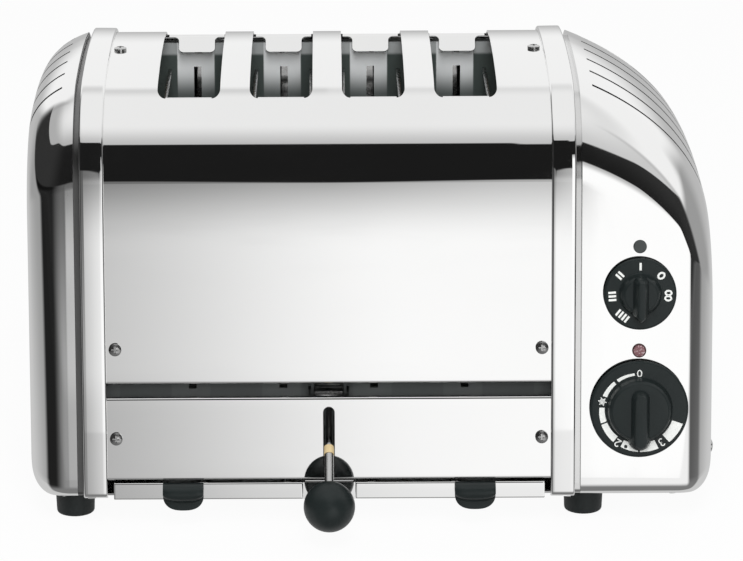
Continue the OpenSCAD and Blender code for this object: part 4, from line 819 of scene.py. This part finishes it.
dress(plated_steel, "lift_carriage", "timer_shaft", "selector_shaft")
dress(plated_steel, *(f"bread_rack_{k}" for k in range(1, 5)))
dress(grey_plastic, "timer_unit", "selector_switch", "lamp_holder")
mica, shader, place = finish("mica", Specular_IOR_Level=0.6)
flake = place.make("ShaderNodeTexVoronoi", {}, {"Vector": place, "Scale": 160.0}, out=1)
tint = flake.make("ShaderNodeSeparateColor", {}, {0: flake})
link(shader, Base_Color=tint.mix((0.36, 0.31, 0.24, 1), (0.50, 0.45, 0.36, 1)),
     Roughness=place.noise(300).step(0.3, 0.7, 0.3, 0.5))
dress(mica, *(f"mica_board_{k}" for k in range(1, 6)))
ribbon = clouded("resistance_ribbon", 200, (0.20, 0.17, 0.15, 1), (0.34, 0.30, 0.27, 1), 500, 0.35, 0.55,
                 Metallic=1.0)
dress(ribbon, *(f"heating_ribbon_{k}" for k in range(1, 6)))
guard_wire = clouded("guard_wire", 150, grey(0.42), grey(0.6), 400, 0.22, 0.4, Metallic=1.0)
dress(guard_wire, *(f"bread_guard_{k}" for k in range(1, 5)))

# Floor: a pale sweep that keeps the toaster's soft shadow and is almost white to the camera. The
# polished metal doesn't see it, because the studio has a table of its own.
floor_finish, shader, place = finish("pale_floor", Roughness=0.9, Specular_IOR_Level=0.1)
link(shader, Base_Color=place.noise(4).mix(grey(0.90), grey(0.92)))
tree = floor_finish.node_tree
rays = tree.nodes.new("ShaderNodeLightPath")
seen = Socket(tree, rays.outputs["Is Camera Ray"])
glow = seen.make("ShaderNodeEmission", {}, {"Color": (1, 1, 1, 1), "Strength": 1.0})
lit = seen.make("ShaderNodeMixShader", {}, {0: seen * 0.94, 1: Socket(tree, shader.outputs[0]), 2: glow})
tree.links.new(lit.out, tree.nodes["Material Output"].inputs["Surface"])
edge = np.linspace(0, 2 * np.pi, 97)[None]
reach = np.array([[0.0], [0.5], [3.0]])
points, quads = grid(np.dstack([reach * np.cos(edge), reach * np.sin(edge), 0 * reach * edge]))
floor_mesh = bpy.data.meshes.new("floor")
floor_mesh.from_pydata(points.tolist(), [], quads[:, ::-1].tolist())
floor_mesh.materials.append(floor_finish)
floor = bpy.data.objects.new("floor", floor_mesh)
bpy.context.scene.collection.objects.link(floor)
floor.visible_glossy = False

# Studio: a white room to the camera and for soft light. The polished metal sees a white table in
# front, a dark screen behind the camera, dark walls at both sides and a broad soft light overhead.
world = bpy.data.worlds.new("studio")
bpy.context.scene.world = world
world.use_nodes = True
tree = world.node_tree
tree.nodes.clear()
coords = Socket(tree, tree.nodes.new("ShaderNodeTexCoord").outputs["Generated"])
# Angles are in degrees: az from straight in front to the right, away to either side, el upwards.
dx, dy, dz = coords.axes()
to_degrees = 180 / np.pi
az = dx.math("ARCTAN2", dx, 0 - dy) * to_degrees
away, el = az.math("ABSOLUTE", az), dz.math("ARCSINE", dz) * to_degrees


def between(factor, first, second):
    """Value from first to second, by a factor."""
    return first + factor * (second - first)


# The screen's edges, and how far it reaches round to both sides.
right, beyond_left = az.step(3.9, 3.98), az.step(-3.9, -4.5)
screen_low = right * (az + el * 0.5).step(32.0, 38.0, 20.6, -5.9) + away.step(0.0, 3.2, -1.3, 0.4)
screen_top = away.step(48.0, 84.0, 44.3, 33.0) - right * 1.5
left_end = el.step(-12.0, 8.0, -68.0, -132.0)
in_front = (az - left_end).step(-8.0, 8.0) * az.step(84.0, 70.0)
# The table is palest at the right, fades into the screen, and darkens at its near edge and both ends.
left_fall = el.step(-1.1, -2.5 - beyond_left * 2.5, az.step(0.0, 3.4, 0.25, 0.42), 0.97)
fall = between(right, left_fall, (screen_low - el).step(0.4, 8.0, 0.5, 1.0))
table = between(az.step(-5.5, 1.5), 0.50, 1.06) * (1 - beyond_left * 0.16) * fall
near_edge = between(el.step(-4.3, -5.0), 1.0, az.step(-6.0, 4.0, 0.76, 1.0))
table = table * near_edge * el.step(-5.95, -6.15, 1.0, 0.86)
table = table * az.step(-42.0, -8.0, 0.055, 1.0) * az.step(33.0, 45.0, 1.0, 0.2)
# Behind the toaster the room is pale above and greyer below.
back_edge = away.step(120.0, 160.0, 26.0, 4.0)
back_low = el.step(-8.0, -18.0, away.step(120.0, 150.0, 0.34, 0.5), 0.6)
behind = between((back_edge - el).step(-6.0, 6.0), 0.93, back_low)
low = between(in_front, behind, between(el.step(-9.0, -45.0), table, 0.2))
# Over the screen comes the soft light, and the screen itself is laid on last.
overhead = between(el.step(43.0, 70.0), az.step(-40.0, 30.0, 0.44, 0.62), 0.88)
above = (el - screen_top).step(-0.7, 0.7) * in_front.math("MAXIMUM", in_front, el.step(45.0, 60.0))
room = between(above, low, overhead)
dark = (el - screen_low).step(-0.4, 0.8) * (el - screen_top).step(0.7, -0.7) * in_front
room = between(dark, room, away.step(10.0, 60.0, 0.011, 0.03))
rays = tree.nodes.new("ShaderNodeLightPath")
mirror, diffuse = Socket(tree, rays.outputs["Is Glossy Ray"]), Socket(tree, rays.outputs["Is Diffuse Ray"])
level = between(mirror, between(diffuse, 1.0, 0.5), room)
shine = level.make("ShaderNodeBackground", {}, {"Color": (1, 1, 1, 1), "Strength": level})
output = tree.nodes.new("ShaderNodeOutputWorld")
tree.links.new(shine.out, output.inputs["Surface"])
SOFT_AT, SOFT_TILT = (0.05, -1.6, 1.3), np.radians(54)
lamp = bpy.data.lights.new("overhead", "AREA")
lamp.shape, lamp.size, lamp.size_y, lamp.energy = "RECTANGLE", 0.6, 1.8, 30.0
overhead_lamp = bpy.data.objects.new("overhead", lamp)
overhead_lamp.matrix_world = Matrix.Translation(SOFT_AT) @ Matrix.Rotation(SOFT_TILT, 4, "X")
overhead_lamp.visible_glossy = False
bpy.context.scene.collection.objects.link(overhead_lamp)
bpy.context.scene.view_settings.view_transform = "Standard"

# Camera: a long lens above the front, tilted down. It is fitted to the rims, slots, dials and
# lever of the photograph.
CAMERA_AT, CAMERA_TILT, CAMERA_ROLL = (-0.022125, -1.88391, 0.6772), np.radians(73.418), -0.0052
view = bpy.data.cameras.new("camera")
view.lens, view.sensor_width, view.shift_x, view.shift_y = 184.32, 36.0, 0.0585, -0.039
view.clip_end = 50.0
camera = bpy.data.objects.new("camera", view)
aim = Matrix.Rotation(CAMERA_TILT, 4, "X") @ Matrix.Rotation(CAMERA_ROLL, 4, "Z")
camera.matrix_world = Matrix.Translation(CAMERA_AT) @ aim
bpy.context.scene.collection.objects.link(camera)
bpy.context.scene.camera = camera
